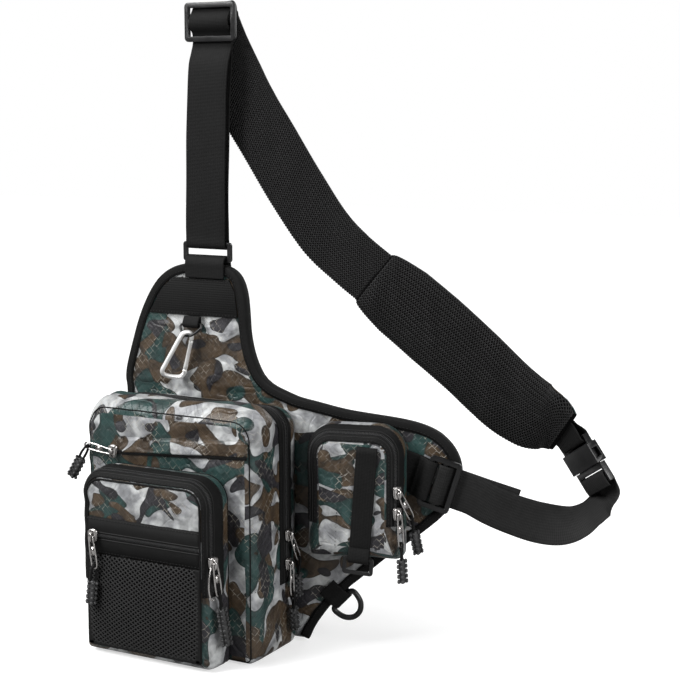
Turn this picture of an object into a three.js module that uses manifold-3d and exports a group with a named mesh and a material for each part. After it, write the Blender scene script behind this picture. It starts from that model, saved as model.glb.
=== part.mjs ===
// Sling tackle bag: a padded back panel with a neck and a side wing, a main compartment with a
// front pocket and a net pocket, a wing pocket, a shoulder strap and a waist strap.
// Millimetres, +Z up, the front faces -Y. The origin is where the shoulder strap hangs.
import * as THREE from "three";
import { mergeVertices } from "three/addons/utils/BufferGeometryUtils.js";
import Module from "manifold-3d";

const wasm = await Module();
wasm.setup();

const DEGREE = Math.PI / 180;

// Sizes of the whole bag
const HANG = { across: -3, back: 10.2, up: 604.8 };
const SEAT = 0.35;
const CLOTH_WALL = 1.6;
const WEB_THICK = 1.6;
const SHOULDER_WEB = 44;
const WAIST_WEB = 38;
const ARC_STEPS = 4;

// Back panel and its wing
const PANEL_THICK = 8;
const WING_START = 95;
const WING_ANGLE = 15 * DEGREE;
const BEND_RADIUS = 60;
const BINDING_WIDTH = 9;
const BINDING_THICK = 1;
const NECK_TOP = 362;

// Pockets: each box is its outline seen from the front
const MAIN = { left: -92, right: 92, bottom: 0, top: 231, lowRadius: 9, topRadius: 22, back: -SEAT };
const MAIN_DEPTH = 82;
const FRONT_BACK = MAIN.back - MAIN_DEPTH - SEAT;
const FRONT = { left: -74, right: 68, bottom: 1, top: 178, lowRadius: 7, topRadius: 24, back: FRONT_BACK };
const SIDE = { left: 11, right: 103, bottom: 92, top: 219, lowRadius: 8, topRadius: 26, back: -1.7 };

// Pocket walls from the sewn rim to the flat face: depth from the rim and draw-in of the outline
const MAIN_WALL = [
  { depth: 0, inset: 3 },
  { depth: 6, inset: 0 },
  { depth: 13, inset: 0 },
  { depth: 35, inset: 0 },
  { depth: 74, inset: 0 },
  { depth: 80, inset: 2.5 },
  { depth: MAIN_DEPTH, inset: 8 },
];
const FRONT_WALL = [
  { depth: 0, inset: 1.5 },
  { depth: 5, inset: 0 },
  { depth: 13, inset: 0 },
  { depth: 26, inset: 0.6 },
  { depth: 33, inset: 3.4 },
  { depth: 36, inset: 9 },
];
const SIDE_WALL = [
  { depth: 0, inset: 0 },
  { depth: 6, inset: 0 },
  { depth: 12, inset: 1 },
  { depth: 22, inset: 4 },
  { depth: 28, inset: 9 },
  { depth: 30, inset: 15 },
];

const finish = (color, roughness, metalness) => (
  new THREE.MeshStandardMaterial({ color, roughness, metalness })
);
const CAMOUFLAGE = finish(0x6f7068, 0.6, 0);
const BLACK_CLOTH = finish(0x17171a, 0.9, 0);
const BLACK_WEB = finish(0x121214, 0.85, 0);
const BLACK_PLASTIC = finish(0x1a1a1c, 0.45, 0);
const RUBBER = finish(0x202022, 0.7, 0);
const STEEL = finish(0xb9bbbd, 0.3, 1);

const vec = (x, y, z) => new THREE.Vector3(x, y, z);

// Skinning and joining

function closedSkin(points, faces) {
  let volume = 0;
  for (let f = 0; f < faces.length; f += 3) {
    const [a, b, c] = [points[faces[f]], points[faces[f + 1]], points[faces[f + 2]]];
    volume += a.dot(b.clone().cross(c));
  }
  const order = volume < 0 ? faces.toReversed() : faces;
  const geometry = new THREE.BufferGeometry();
  const values = points.flatMap((point) => [point.x, point.y, point.z]);
  geometry.setAttribute("position", new THREE.Float32BufferAttribute(values, 3));
  geometry.setIndex(order);
  return geometry;
}

// Skins equal rings in a row; the ends get a fan, or the given faces, or the row is joined end to start.
function skin(rings, { capFaces = null, joined = false } = {}) {
  const count = rings[0].length;
  const points = rings.flat();
  const faces = [];
  const rows = joined ? rings.length : rings.length - 1;
  for (let row = 0; row < rows; row += 1) {
    const first = row * count;
    const second = ((row + 1) % rings.length) * count;
    for (let i = 0; i < count; i += 1) {
      const j = (i + 1) % count;
      faces.push(first + i, first + j, second + j, first + i, second + j, second + i);
    }
  }
  if (joined) return closedSkin(points, faces);
  const last = (rings.length - 1) * count;
  if (capFaces) {
    for (const [a, b, c] of capFaces) {
      faces.push(a, c, b, last + a, last + b, last + c);
    }
    return closedSkin(points, faces);
  }
  for (const [start, turned] of [[0, true], [last, false]]) {
    const centre = vec(0, 0, 0);
    for (let i = 0; i < count; i += 1) centre.addScaledVector(points[start + i], 1 / count);
    const middle = points.push(centre) - 1;
    for (let i = 0; i < count; i += 1) {
      const j = (i + 1) % count;
      if (turned) faces.push(middle, start + j, start + i);
      else faces.push(middle, start + i, start + j);
    }
  }
  return closedSkin(points, faces);
}

function profileFaces(profile) {
  const flat = profile.map(([a, b]) => new THREE.Vector2(a, b));
  return THREE.ShapeUtils.triangulateShape(flat, []).map(([a, b, c]) => {
    const area = flat[b].clone().sub(flat[a]).cross(flat[c].clone().sub(flat[a]));
    const whole = THREE.ShapeUtils.area(flat);
    return area * whole > 0 ? [a, b, c] : [a, c, b];
  });
}

function toSolid(geometry) {
  const bare = new THREE.BufferGeometry();
  bare.setAttribute("position", geometry.getAttribute("position"));
  if (geometry.index) bare.setIndex(geometry.index);
  const merged = mergeVertices(bare, 1e-4);
  return new wasm.Manifold(new wasm.Mesh({
    numProp: 3,
    vertProperties: new Float32Array(merged.getAttribute("position").array),
    triVerts: new Uint32Array(merged.index.array),
  }));
}

function toGeometry(solid) {
  const mesh = solid.getMesh();
  const geometry = new THREE.BufferGeometry();
  geometry.setAttribute("position", new THREE.BufferAttribute(new Float32Array(mesh.vertProperties), 3));
  geometry.setIndex(new THREE.BufferAttribute(new Uint32Array(mesh.triVerts), 1));
  return geometry;
}

const fuse = (...parts) => toGeometry(parts.map(toSolid).reduce((sum, next) => sum.add(next)));
const cut = (body, ...tools) => (
  toGeometry(tools.map(toSolid).reduce((rest, tool) => rest.subtract(tool), toSolid(body)))
);

function block(x0, x1, y0, y1, z0, z1) {
  const box = new THREE.BoxGeometry(x1 - x0, y1 - y0, z1 - z0);
  return box.translate((x0 + x1) / 2, (y0 + y1) / 2, (z0 + z1) / 2);
}

// Flat plate: outline in X and Z, between two depths in Y
function plate(outline, front, back) {
  const rings = [front, back].map((y) => outline.map(([x, z]) => vec(x, y, z)));
  return skin(rings, { capFaces: profileFaces(outline) });
}

function roundedShape(width, height, radius) {
  const [w, h] = [width / 2, height / 2];
  const shape = new THREE.Shape();
  shape.moveTo(-w + radius, -h).lineTo(w - radius, -h);
  shape.absarc(w - radius, -h + radius, radius, -Math.PI / 2, 0);
  shape.lineTo(w, h - radius).absarc(w - radius, h - radius, radius, 0, Math.PI / 2);
  shape.lineTo(-w + radius, h).absarc(-w + radius, h - radius, radius, Math.PI / 2, Math.PI);
  shape.lineTo(-w, -h + radius).absarc(-w + radius, -h + radius, radius, Math.PI, Math.PI * 1.5);
  return shape;
}

// Moulded frame standing in X and Z, with its windows given as [x0, x1, z0, z1]
function mouldedFrame(width, height, radius, windows, front, back) {
  const options = { depth: back - front, bevelEnabled: false, curveSegments: 3 };
  const slab = new THREE.ExtrudeGeometry(roundedShape(width, height, radius), options);
  slab.rotateX(Math.PI / 2).translate(0, back, 0);
  return cut(slab, ...windows.map(([x0, x1, z0, z1]) => block(x0, x1, front - 1, back + 1, z0, z1)));
}

// Round wire along points; an open run is closed with flat ends
function wire(points, radius, sides, joined, perPoint = 2) {
  const curve = new THREE.CatmullRomCurve3(points, joined, "centripetal");
  const steps = points.length * perPoint;
  const rings = [];
  let side = null;
  for (let step = 0; step < (joined ? steps : steps + 1); step += 1) {
    const share = step / steps;
    const along = curve.getTangent(share);
    if (!side) side = vec(along.y, -along.x, along.z + 0.3).cross(along).normalize();
    side.addScaledVector(along, -side.dot(along)).normalize();
    const other = along.clone().cross(side);
    const centre = curve.getPoint(share);
    rings.push(Array.from({ length: sides }, (_, i) => {
      const turn = (2 * Math.PI * i) / sides;
      const spoke = side.clone().multiplyScalar(radius * Math.cos(turn));
      return spoke.addScaledVector(other, radius * Math.sin(turn)).add(centre);
    }));
  }
  return skin(rings, { joined });
}

// Webbing or padding through stations {at, across, width, thick}; crown rounds the section of padding
function ribbon(stations, perSpan, crown = false) {
  const path = new THREE.CatmullRomCurve3(stations.map((row) => row.at), false, "centripetal");
  const spans = stations.length - 1;
  const rings = [];
  for (let step = 0; step <= spans * perSpan; step += 1) {
    const place = step / perSpan;
    const row = Math.min(Math.floor(place), spans - 1);
    const [from, to, share] = [stations[row], stations[row + 1], place - row];
    const along = path.getTangent(place / spans);
    const across = from.across.clone().lerp(to.across, share);
    across.addScaledVector(along, -across.dot(along)).normalize();
    const out = along.clone().cross(across);
    const half = THREE.MathUtils.lerp(from.width, to.width, share) / 2;
    const thick = THREE.MathUtils.lerp(from.thick, to.thick, share) / 2;
    const section = crown
      ? [[-1, 0], [-0.86, -0.7], [0, -1], [0.86, -0.7], [1, 0], [0.86, 0.7], [0, 1], [-0.86, 0.7]]
      : [[-1, -1], [1, -1], [1, 1], [-1, 1]];
    const centre = path.getPoint(place / spans);
    rings.push(section.map(([a, o]) => (
      centre.clone().addScaledVector(across, a * half).addScaledVector(out, o * thick)
    )));
  }
  return skin(rings);
}

// Pocket walls and zips

// Loop round a box with rounded corners, drawn in by inset
function outlineLoop(box, inset) {
  const corners = [
    { x: box.right, z: box.bottom, radius: box.lowRadius, start: -90 },
    { x: box.right, z: box.top, radius: box.topRadius, start: 0 },
    { x: box.left, z: box.top, radius: box.topRadius, start: 90 },
    { x: box.left, z: box.bottom, radius: box.lowRadius, start: 180 },
  ];
  return corners.flatMap(({ x, z, radius, start }) => {
    const round = Math.max(radius - inset, 1);
    const sideX = Math.sign(x - (box.left + box.right) / 2);
    const sideZ = Math.sign(z - (box.bottom + box.top) / 2);
    return Array.from({ length: ARC_STEPS + 1 }, (_, step) => {
      const turn = (start + (90 * step) / ARC_STEPS) * DEGREE;
      return [
        x - sideX * (inset + round) + round * Math.cos(turn),
        z - sideZ * (inset + round) + round * Math.sin(turn),
      ];
    });
  });
}

// Moves a wall line of {depth, inset} outwards by a distance
function offsetWall(wall, distance) {
  return wall.map((here, i) => {
    const before = wall[i - 1] ?? here;
    const after = wall[i + 1] ?? here;
    const normals = [[before, here], [here, after]].filter(([a, b]) => a !== b).map(([a, b]) => {
      const [dd, di] = [b.depth - a.depth, b.inset - a.inset];
      const length = Math.hypot(dd, di);
      return [di / length, -dd / length];
    });
    const depth = normals.reduce((sum, n) => sum + n[0], 0) / normals.length;
    const inset = normals.reduce((sum, n) => sum + n[1], 0) / normals.length;
    const share = distance / (depth * depth + inset * inset);
    return { depth: here.depth + share * depth, inset: here.inset + share * inset };
  });
}

function pocketShell(box, wall) {
  const ring = ({ depth, inset }) => outlineLoop(box, inset).map(([x, z]) => vec(x, box.back - depth, z));
  const face = { depth: wall.at(-1).depth, inset: wall.at(-1).inset + 20 };
  const inner = offsetWall([...wall, face], -CLOTH_WALL).slice(0, -1);
  inner[0].depth = wall[0].depth;
  return skin([...wall.toReversed(), ...inner].map(ring));
}

// Inverted U up one side of a pocket, over its top and down the other side
function archPath(box, foot) {
  const points = [{ x: box.right, z: foot, turn: 0 }];
  for (const [side, start] of [[1, 0], [-1, 90]]) {
    const edge = side > 0 ? box.right : box.left;
    for (let step = 0; step <= ARC_STEPS; step += 1) {
      const turn = (start + (90 * step) / ARC_STEPS) * DEGREE;
      points.push({
        x: edge - side * box.topRadius + box.topRadius * Math.cos(turn),
        z: box.top - box.topRadius + box.topRadius * Math.sin(turn),
        turn,
      });
    }
  }
  points.push({ x: box.left, z: foot, turn: Math.PI });
  return points;
}

function alongArch(box, foot, profile) {
  const rings = archPath(box, foot).map(({ x, z, turn }) => profile.map(([depth, inset]) => (
    vec(x - inset * Math.cos(turn), box.back - depth, z - inset * Math.sin(turn))
  )));
  return skin(rings, { capFaces: profileFaces(profile) });
}

function wallPoint(from, to, share, offset) {
  const [a, b] = offsetWall([from, to], offset);
  return [THREE.MathUtils.lerp(a.depth, b.depth, share), THREE.MathUtils.lerp(a.inset, b.inset, share)];
}

// Zip tape over part of a wall, with the coil on the span that starts at row `coil`
function zipTape(box, wall, foot, coil, from, to) {
  const pair = ({ depth, inset }) => [depth, inset];
  const under = offsetWall(wall, SEAT).map(pair);
  const over = offsetWall(wall, SEAT + 0.8).map(pair);
  const [start, end] = [wall[coil], wall[coil + 1]];
  const ridge = [
    wallPoint(start, end, from - 0.02, SEAT + 0.8),
    wallPoint(start, end, from, SEAT + 2),
    wallPoint(start, end, to, SEAT + 2),
    wallPoint(start, end, to + 0.02, SEAT + 0.8),
  ];
  const outer = [...over.slice(0, coil + 1), ...ridge, ...over.slice(coil + 1)];
  return alongArch(box, foot, [...under, ...outer.toReversed()]);
}

// Opening through the wall under the coil
function zipSlot(box, wall, foot, coil, from, to) {
  const [start, end] = [wall[coil], wall[coil + 1]];
  return alongArch(box, foot, [
    wallPoint(start, end, from, 0.2),
    wallPoint(start, end, to, 0.2),
    wallPoint(start, end, to, -CLOTH_WALL - 2),
    wallPoint(start, end, from, -CLOTH_WALL - 2),
  ]);
}

// Scene tree

const part = new THREE.Group();
part.name = "sling_tackle_bag";
const bag = new THREE.Group();
bag.position.set(-HANG.across, -HANG.back, -HANG.up);
part.add(bag);
const wing = new THREE.Group();
wing.position.set(WING_START, 0, 0);
wing.rotation.z = WING_ANGLE;
bag.add(wing);

function add(name, geometry, material, parent = bag) {
  const mesh = new THREE.Mesh(geometry, material);
  mesh.name = name;
  parent.add(mesh);
  return mesh;
}

// Back panel

// Edge of the panel laid flat: along it and up, from the base to the top of the neck
const LEFT_EDGE = [
  [-102, 4], [-103, 30], [-103, 230], [-107, 246], [-98, 276], [-87, 309], [-71, 338], [-56, 352], [-37, 360],
];
const RIGHT_EDGE = [
  [103, 4], [108, 16], [124, 39], [140, 56], [159, 72], [185, 95], [210, 113], [236, 136], [247, 156],
  [250, 175], [247, 189], [240, 201], [228, 212], [211, 219], [190, 223], [162, 226], [137, 229],
  [111, 235], [103, 236.6], [97.5, 237.6], [92, 238.6], [86, 240], [56, 250], [44, 270], [38, 293],
  [37, 313], [35, 335], [28, 352], [14, 360],
];

// Carries a flat point along, back and up onto the panel, which bends back at the wing
function bend(along, back, up) {
  const start = WING_START - BEND_RADIUS * Math.tan(WING_ANGLE / 2);
  const turn = THREE.MathUtils.clamp((along - start) / BEND_RADIUS, 0, WING_ANGLE);
  const beyond = Math.max(0, along - start - BEND_RADIUS * WING_ANGLE);
  const reach = BEND_RADIUS - back;
  return vec(
    Math.min(along, start) + reach * Math.sin(turn) + beyond * Math.cos(WING_ANGLE),
    BEND_RADIUS - reach * Math.cos(turn) + beyond * Math.sin(WING_ANGLE),
    up,
  );
}

// Edge from the lower left over the neck to the lower right, with the inward direction at each point
const panelEdge = [...LEFT_EDGE, [-11, NECK_TOP], ...RIGHT_EDGE.toReversed()].map(([along, up], i, all) => {
  const [a, b] = [all[Math.max(i - 1, 0)], all[Math.min(i + 1, all.length - 1)]];
  const runs = [[a, [along, up]], [[along, up], b]].filter(([p, q]) => p[1] !== q[1] || p[0] !== q[0]);
  const inward = new THREE.Vector2();
  for (const [p, q] of runs) inward.add(new THREE.Vector2(q[1] - p[1], p[0] - q[0]).normalize());
  inward.multiplyScalar(runs.length / inward.lengthSq());
  return { along, up, inward };
});

function edgeAt(edge, up) {
  const row = Math.max(1, edge.findIndex((point) => point[1] >= up));
  const [a, b] = [edge[row - 1], edge[row]];
  return THREE.MathUtils.mapLinear(up, a[1], b[1], a[0], b[0]);
}

const drawnIn = panelEdge.map(({ along, up, inward }) => [along + 3 * inward.x, up + 3 * inward.y]);
const leftLine = drawnIn.slice(0, LEFT_EDGE.length + 1);
const rightLine = drawnIn.slice(LEFT_EDGE.length).toReversed();
const panelRows = [...new Set(drawnIn.map(([, up]) => Math.floor(up)))].sort((a, b) => a - b)
  .filter((up, i, all) => i === 0 || up - all[i - 1] > 1);
const bendStops = [0, 1, 2, 3].map((step) => WING_START - 7.9 + step * 5.24);

function panelRow(up) {
  const [left, right] = [edgeAt(leftLine, up), edgeAt(rightLine, up)];
  const [start, last] = [Math.min(bendStops[0], right - 1), bendStops.at(-1)];
  const toBend = [0, 0.35, 0.7].map((share) => THREE.MathUtils.lerp(left, start, share));
  const beyond = right > last + 6
    ? [...bendStops, ...[0.33, 0.67, 1].map((share) => THREE.MathUtils.lerp(last, right, share))]
    : Array.from({ length: 7 }, (_, i) => THREE.MathUtils.lerp(start, right, i / 6));
  const stops = [...toBend, ...beyond];
  const face = stops.map((along) => bend(along, 0, up));
  const rear = stops.toReversed().map((along) => bend(along, PANEL_THICK - 0.6, up));
  return [...face, ...rear];
}
const panelCap = profileFaces(panelRow(panelRows[0]).map(({ x, y }) => [x, y]));
add("back_panel", skin(panelRows.map(panelRow), { capFaces: panelCap }), CAMOUFLAGE);

const bindingSection = [
  [BINDING_WIDTH, -SEAT - BINDING_THICK], [0, -SEAT - BINDING_THICK],
  [0, PANEL_THICK + SEAT + BINDING_THICK], [BINDING_WIDTH, PANEL_THICK + SEAT + BINDING_THICK],
  [BINDING_WIDTH, PANEL_THICK + SEAT], [1.3, PANEL_THICK + SEAT], [1.3, -SEAT], [BINDING_WIDTH, -SEAT],
];
const bindingRings = panelEdge.map(({ along, up, inward }) => bindingSection.map(([reach, back]) => (
  bend(along + reach * inward.x, back, up + reach * inward.y)
)));
add("panel_binding", skin(bindingRings, { capFaces: profileFaces(bindingSection) }), BLACK_WEB);

const NECK_PATCH = [[-75, 310], [27, 310], [24.4, 335], [18, 346.5], [-44.5, 346.5], [-58, 336.5]];
add("neck_patch", plate(NECK_PATCH, -SEAT - 1.5, -SEAT), BLACK_WEB);

// Main compartment with its zip and the covered zip across its front

const MAIN_ZIP_FOOT = 66;
const mainZipWall = MAIN_WALL.slice(2, 4);
const mainSlot = zipSlot(MAIN, mainZipWall, MAIN_ZIP_FOOT + 4, 0, 0.36, 0.64);
add("main_shell", cut(pocketShell(MAIN, MAIN_WALL), mainSlot), CAMOUFLAGE);
add("main_zip", zipTape(MAIN, mainZipWall, MAIN_ZIP_FOOT, 0, 0.4, 0.6), BLACK_CLOTH);

// Each strip across the front is level at its left end and climbs to its right end
const mainFace = MAIN.back - MAIN_DEPTH;
const SLIP_ZIP = { left: -66, right: 84, up: 185, height: 4, climb: 9, thick: 1 };
const SLIP_WELT = { left: -52, right: 84, up: 190, height: 11, climb: 8.5, thick: 1.4 };
function slantedStrip({ left, right, up, height, climb, thick }) {
  const outline = [[left, up], [right, up + climb], [right, up + climb + height], [left, up + height]];
  return plate(outline, mainFace - SEAT - thick, mainFace - SEAT);
}
add("slip_zip", slantedStrip(SLIP_ZIP), BLACK_CLOTH);
add("slip_welt", slantedStrip(SLIP_WELT), CAMOUFLAGE);

// Front pocket, its zip, and the net pocket on its face

const FRONT_ZIP_FOOT = 72;
const frontZipWall = FRONT_WALL.slice(2);
const frontSlot = zipSlot(FRONT, frontZipWall, FRONT_ZIP_FOOT + 4, 1, 0.2, 0.8);
add("front_shell", cut(pocketShell(FRONT, FRONT_WALL), frontSlot), CAMOUFLAGE);
add("front_zip", zipTape(FRONT, frontZipWall, FRONT_ZIP_FOOT, 1, 0.25, 0.75), BLACK_CLOTH);

const frontFace = FRONT.back - FRONT_WALL.at(-1).depth;
const NET = { left: -64.5, right: 58.5, bottom: 10.5, top: 98, bulge: 4, thick: 1.2, zipTop: 133 };
const netZipMiddle = (NET.top + NET.zipTop) / 2;
const netZipProfile = [
  [0, NET.top + SEAT], [0, NET.zipTop], [0.9, NET.zipTop], [0.9, netZipMiddle + 3],
  [2.1, netZipMiddle + 2.4], [2.1, netZipMiddle - 2.4], [0.9, netZipMiddle - 3], [0.9, NET.top + SEAT],
];
const netZipRings = [NET.left, NET.right].map((x) => (
  netZipProfile.map(([out, z]) => vec(x, frontFace - SEAT - out, z))
));
add("net_zip", skin(netZipRings, { capFaces: profileFaces(netZipProfile) }), BLACK_CLOTH);

const netRings = Array.from({ length: 9 }, (_, column) => {
  const x = THREE.MathUtils.lerp(NET.left, NET.right, column / 8);
  const rise = Array.from({ length: 7 }, (__, row) => {
    const z = THREE.MathUtils.lerp(NET.bottom, NET.top, row / 6);
    const out = NET.bulge * Math.sin((Math.PI * column) / 8) ** 0.6 * Math.sin((Math.PI * row) / 6) ** 0.6;
    return { z, y: frontFace - SEAT - out };
  });
  const outer = rise.map(({ z, y }) => vec(x, y - NET.thick, z));
  const inner = rise.toReversed().map(({ z, y }) => vec(x, y, z));
  return [...outer, ...inner];
});
const netCap = netRings[0].map((point) => [point.y, point.z]);
add("net_panel", skin(netRings, { capFaces: profileFaces(netCap) }), BLACK_CLOTH);

// Wing pocket with its zip, strap and ring

const SIDE_ZIP_FOOT = 128;
const sideZipWall = SIDE_WALL.slice(2);
const sideSlot = zipSlot(SIDE, sideZipWall, SIDE_ZIP_FOOT + 4, 1, 0.2, 0.8);
add("side_shell", cut(pocketShell(SIDE, SIDE_WALL), sideSlot), CAMOUFLAGE, wing);
add("side_zip", zipTape(SIDE, sideZipWall, SIDE_ZIP_FOOT, 1, 0.2, 0.8), BLACK_CLOTH, wing);

const sideFace = SIDE.back - SIDE_WALL.at(-1).depth;
const SIDE_STRAP_LEAN = 4 * DEGREE;
const sideHang = new THREE.Group();
sideHang.position.set(65, sideFace - SEAT - WEB_THICK / 2, 104);
sideHang.rotation.y = SIDE_STRAP_LEAN;
wing.add(sideHang);
const SIDE_WEB = 20;
const SIDE_STRAP = [
  [0, 98], [0, 50], [0, 4], [0.2, -4], [-0.4, -8.6], [-2.8, -10.6], [-5.3, -8.6], [-4.9, -3], [-2.6, 3],
];
add("side_strap", ribbon(SIDE_STRAP.map(([y, z]) => ({
  at: vec(0, y, z), across: vec(1, 0, 0), width: SIDE_WEB, thick: WEB_THICK,
})), 2), BLACK_WEB, sideHang);
const sideRing = mouldedFrame(29, 17, 3, [[-11, 11, -5, 5]], -1.3, 1.3);
add("side_ring", sideRing.translate(0, -2.8, -13.4), BLACK_PLASTIC, sideHang);

// Neck loop, ring, upper strap and slider

const RING = { across: -9, back: 4, up: 372 };
const neckRing = mouldedFrame(54, 19, 3, [[-23, 23, -5.5, 5.5]], -2, 2);
add("neck_ring", neckRing.translate(RING.across, RING.back, RING.up), BLACK_PLASTIC);

// Rows of back and up, from the patch on the front over the ring's lower bar to the rear of the panel
const NECK_LOOP = [
  [-2.7, 347], [-2.7, 355], [-2.6, 361.5], [-0.6, 365.8], [4, 368.2], [8.6, 365.8], [10.7, 361.5],
  [10.7, 350], [10.7, 331],
];
add("neck_loop", ribbon(NECK_LOOP.map(([back, up]) => ({
  at: vec(RING.across, back, up), across: vec(1, 0, 0), width: SHOULDER_WEB, thick: WEB_THICK,
})), 2), BLACK_WEB);

const SLIDER = { across: -3, back: 4, up: 588.8 };
const topSlider = mouldedFrame(56, 36.5, 4, [[-23.2, 23.2, -13.3, -1.8], [-23.2, 23.2, 2.2, 13.2]], -2, 2);
add("top_slider", topSlider.translate(SLIDER.across, SLIDER.back, SLIDER.up), BLACK_PLASTIC);

// Upper strap from its sewn end on the slider, down round the ring and up again to the padded strap
const UPPER_STRAP = [
  { across: -3, back: 8, up: 592, swing: 0 },
  { across: -3.5, back: 9.9, up: 575, swing: 0 },
  { across: -4, back: 8.4, up: 552, swing: 0 },
  { across: -6, back: 6, up: 490, swing: 0 },
  { across: -8, back: 6, up: 420, swing: 0 },
  { across: -9, back: 7.5, up: 388, swing: 0 },
  { across: -9, back: 7.4, up: 377.6, swing: 0 },
  { across: -9, back: 4, up: 375.4, swing: 0 },
  { across: -9, back: 0.6, up: 377.6, swing: 0 },
  { across: -9, back: 0.3, up: 388, swing: 0 },
  { across: -8, back: -0.6, up: 420, swing: 0 },
  { across: -6, back: -1, up: 490, swing: 0 },
  { across: -3.8, back: 0.8, up: 548, swing: 0 },
  { across: -3, back: 4.2, up: 560, swing: 0 },
  { across: -3, back: 7.1, up: 567.5, swing: 0 },
  { across: -3, back: 7.7, up: 573.5, swing: 0 },
  { across: -3, back: 6.3, up: 579, swing: 0 },
  { across: -3, back: 1.4, up: 584.4, swing: 0 },
  { across: -3, back: 0.4, up: 588.5, swing: 0 },
  { across: -3, back: 1.2, up: 592.8, swing: 0 },
  { across: -3, back: 4.8, up: 597.4, swing: 0 },
  { across: -3, back: 7.8, up: 602.2, swing: 0 },
  { across: -3, back: 10.4, up: 605.6, swing: 0 },
  { across: -2.4, back: 13.2, up: 603.2, swing: 3 },
  { across: -2.2, back: 13.7, up: 597.6, swing: 5 },
];
add("upper_strap", ribbon(UPPER_STRAP.map(({ across, back, up, swing }) => ({
  at: vec(across, back, up),
  across: vec(Math.cos(swing * DEGREE), Math.sin(swing * DEGREE), 0),
  width: SHOULDER_WEB,
  thick: WEB_THICK,
})), 2), BLACK_WEB);

// Padded shoulder strap and sleeve, in the wing's frame

// Stations along, back and up, with the width across and the turn of that width out of the plane
const SHOULDER_STRAP = [
  { along: -90.5, back: 38.4, up: 597, width: 46, thick: 4, turn: 10 },
  { along: -90, back: 39, up: 590, width: 47, thick: 4.5, turn: 10 },
  { along: -84, back: 41, up: 568, width: 50, thick: 6.5, turn: 8 },
  { along: -72, back: 40, up: 538, width: 54, thick: 8, turn: 4 },
  { along: -60, back: 38.5, up: 511, width: 57, thick: 8, turn: 0 },
  { along: -40, back: 36, up: 479, width: 57, thick: 8, turn: 0 },
  { along: -9.5, back: 34, up: 430, width: 57, thick: 8, turn: 0 },
  { along: 18, back: 33, up: 391, width: 56, thick: 8, turn: 0 },
  { along: 42, back: 32, up: 368.4, width: 54, thick: 8, turn: 0 },
  { along: 66, back: 32, up: 349.3, width: 54, thick: 8, turn: 0 },
];
const SHOULDER_SLEEVE = [
  { along: 66.5, back: 32, up: 348.9, width: 60, thick: 13, turn: 0 },
  { along: 73, back: 32, up: 343.7, width: 64, thick: 15.5, turn: 0 },
  { along: 92, back: 32, up: 328.6, width: 71, thick: 18, turn: 0 },
  { along: 122, back: 31, up: 304.5, width: 72, thick: 19, turn: 0 },
  { along: 156, back: 30, up: 276, width: 70, thick: 19, turn: 0 },
  { along: 194, back: 29, up: 242, width: 70, thick: 17, turn: 4 },
  { along: 217, back: 28.6, up: 227, width: 72, thick: 14.5, turn: 15 },
  { along: 234.7, back: 28.8, up: 219.4, width: 68, thick: 12, turn: 29 },
  { along: 244.5, back: 27.6, up: 212.6, width: 60, thick: 10.5, turn: 38 },
];

function slingStation({ along, back, up, width, thick, turn }, i, all) {
  const [before, after] = [all[Math.max(i - 1, 0)], all[Math.min(i + 1, all.length - 1)]];
  const way = vec(after.along - before.along, 0, after.up - before.up).normalize();
  const across = vec(-way.z, 0, way.x).multiplyScalar(Math.cos(turn * DEGREE));
  across.y = -Math.sin(turn * DEGREE);
  return { at: vec(along, back, up), across, width, thick };
}
add("shoulder_strap", ribbon(SHOULDER_STRAP.map(slingStation), 3, true), CAMOUFLAGE, wing);
const sleeveStations = SHOULDER_SLEEVE.map(slingStation);
add("shoulder_sleeve", ribbon(sleeveStations, 3, true), CAMOUFLAGE, wing);

// Buckle: its own X runs from the sleeve to the waist strap, Y across, Z through

const BUCKLE_WAY = vec(0.55, -0.15, -0.82).normalize();
const buckleAcross = vec(0.58, -0.71, 0.39);
buckleAcross.addScaledVector(BUCKLE_WAY, -buckleAcross.dot(BUCKLE_WAY)).normalize();
const buckleOut = BUCKLE_WAY.clone().cross(buckleAcross);
const buckle = new THREE.Group();
buckle.position.set(267, 22.5, 185.5);
buckle.quaternion.setFromRotationMatrix(new THREE.Matrix4().makeBasis(BUCKLE_WAY, buckleAcross, buckleOut));
wing.add(buckle);

add("buckle_socket", cut(
  fuse(block(-15, 5, -23, 23, -5.5, 5.5), block(-24, -14, -22, 22, -3, 3)),
  block(-21, -16, -19.6, 19.6, -10, 10),
  block(-11, 6, -19, 19, -3.2, 3.2),
  block(-9, 0, -24, -16, -3.2, 3.2),
  block(-9, 0, 16, 24, -3.2, 3.2),
), BLACK_PLASTIC, buckle);
add("buckle_plug", cut(
  fuse(
    block(5.4, 24, -22, 22, -3, 3),
    block(-9, 7, -4, 4, -2, 2),
    block(-6, 7, -15.5, -10, -2.7, 2.7),
    block(-6, 7, 10, 15.5, -2.7, 2.7),
    block(-8.5, -0.5, -18.4, -10, -2.7, 2.7),
    block(-8.5, -0.5, 10, 18.4, -2.7, 2.7),
  ),
  block(11, 18.6, -19.6, 19.6, -5, 5),
), BLACK_PLASTIC, buckle);

// Webbing that turns round a bar: rows of X and Z in the buckle's own frame
buckle.updateMatrix();
function buckleStation([x, z]) {
  const at = vec(x, 0, z).applyMatrix4(buckle.matrix);
  return { at, across: buckleAcross, width: WAIST_WEB, thick: WEB_THICK };
}
const SLEEVE_TAIL = [
  [-26.5, -4.4], [-23.5, -4.7], [-20.2, -4.4], [-18.3, -2.6], [-18, 0], [-18.3, 2.6], [-20.2, 4.4], [-23.5, 4.7],
  [-26.5, 4.4],
];
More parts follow.
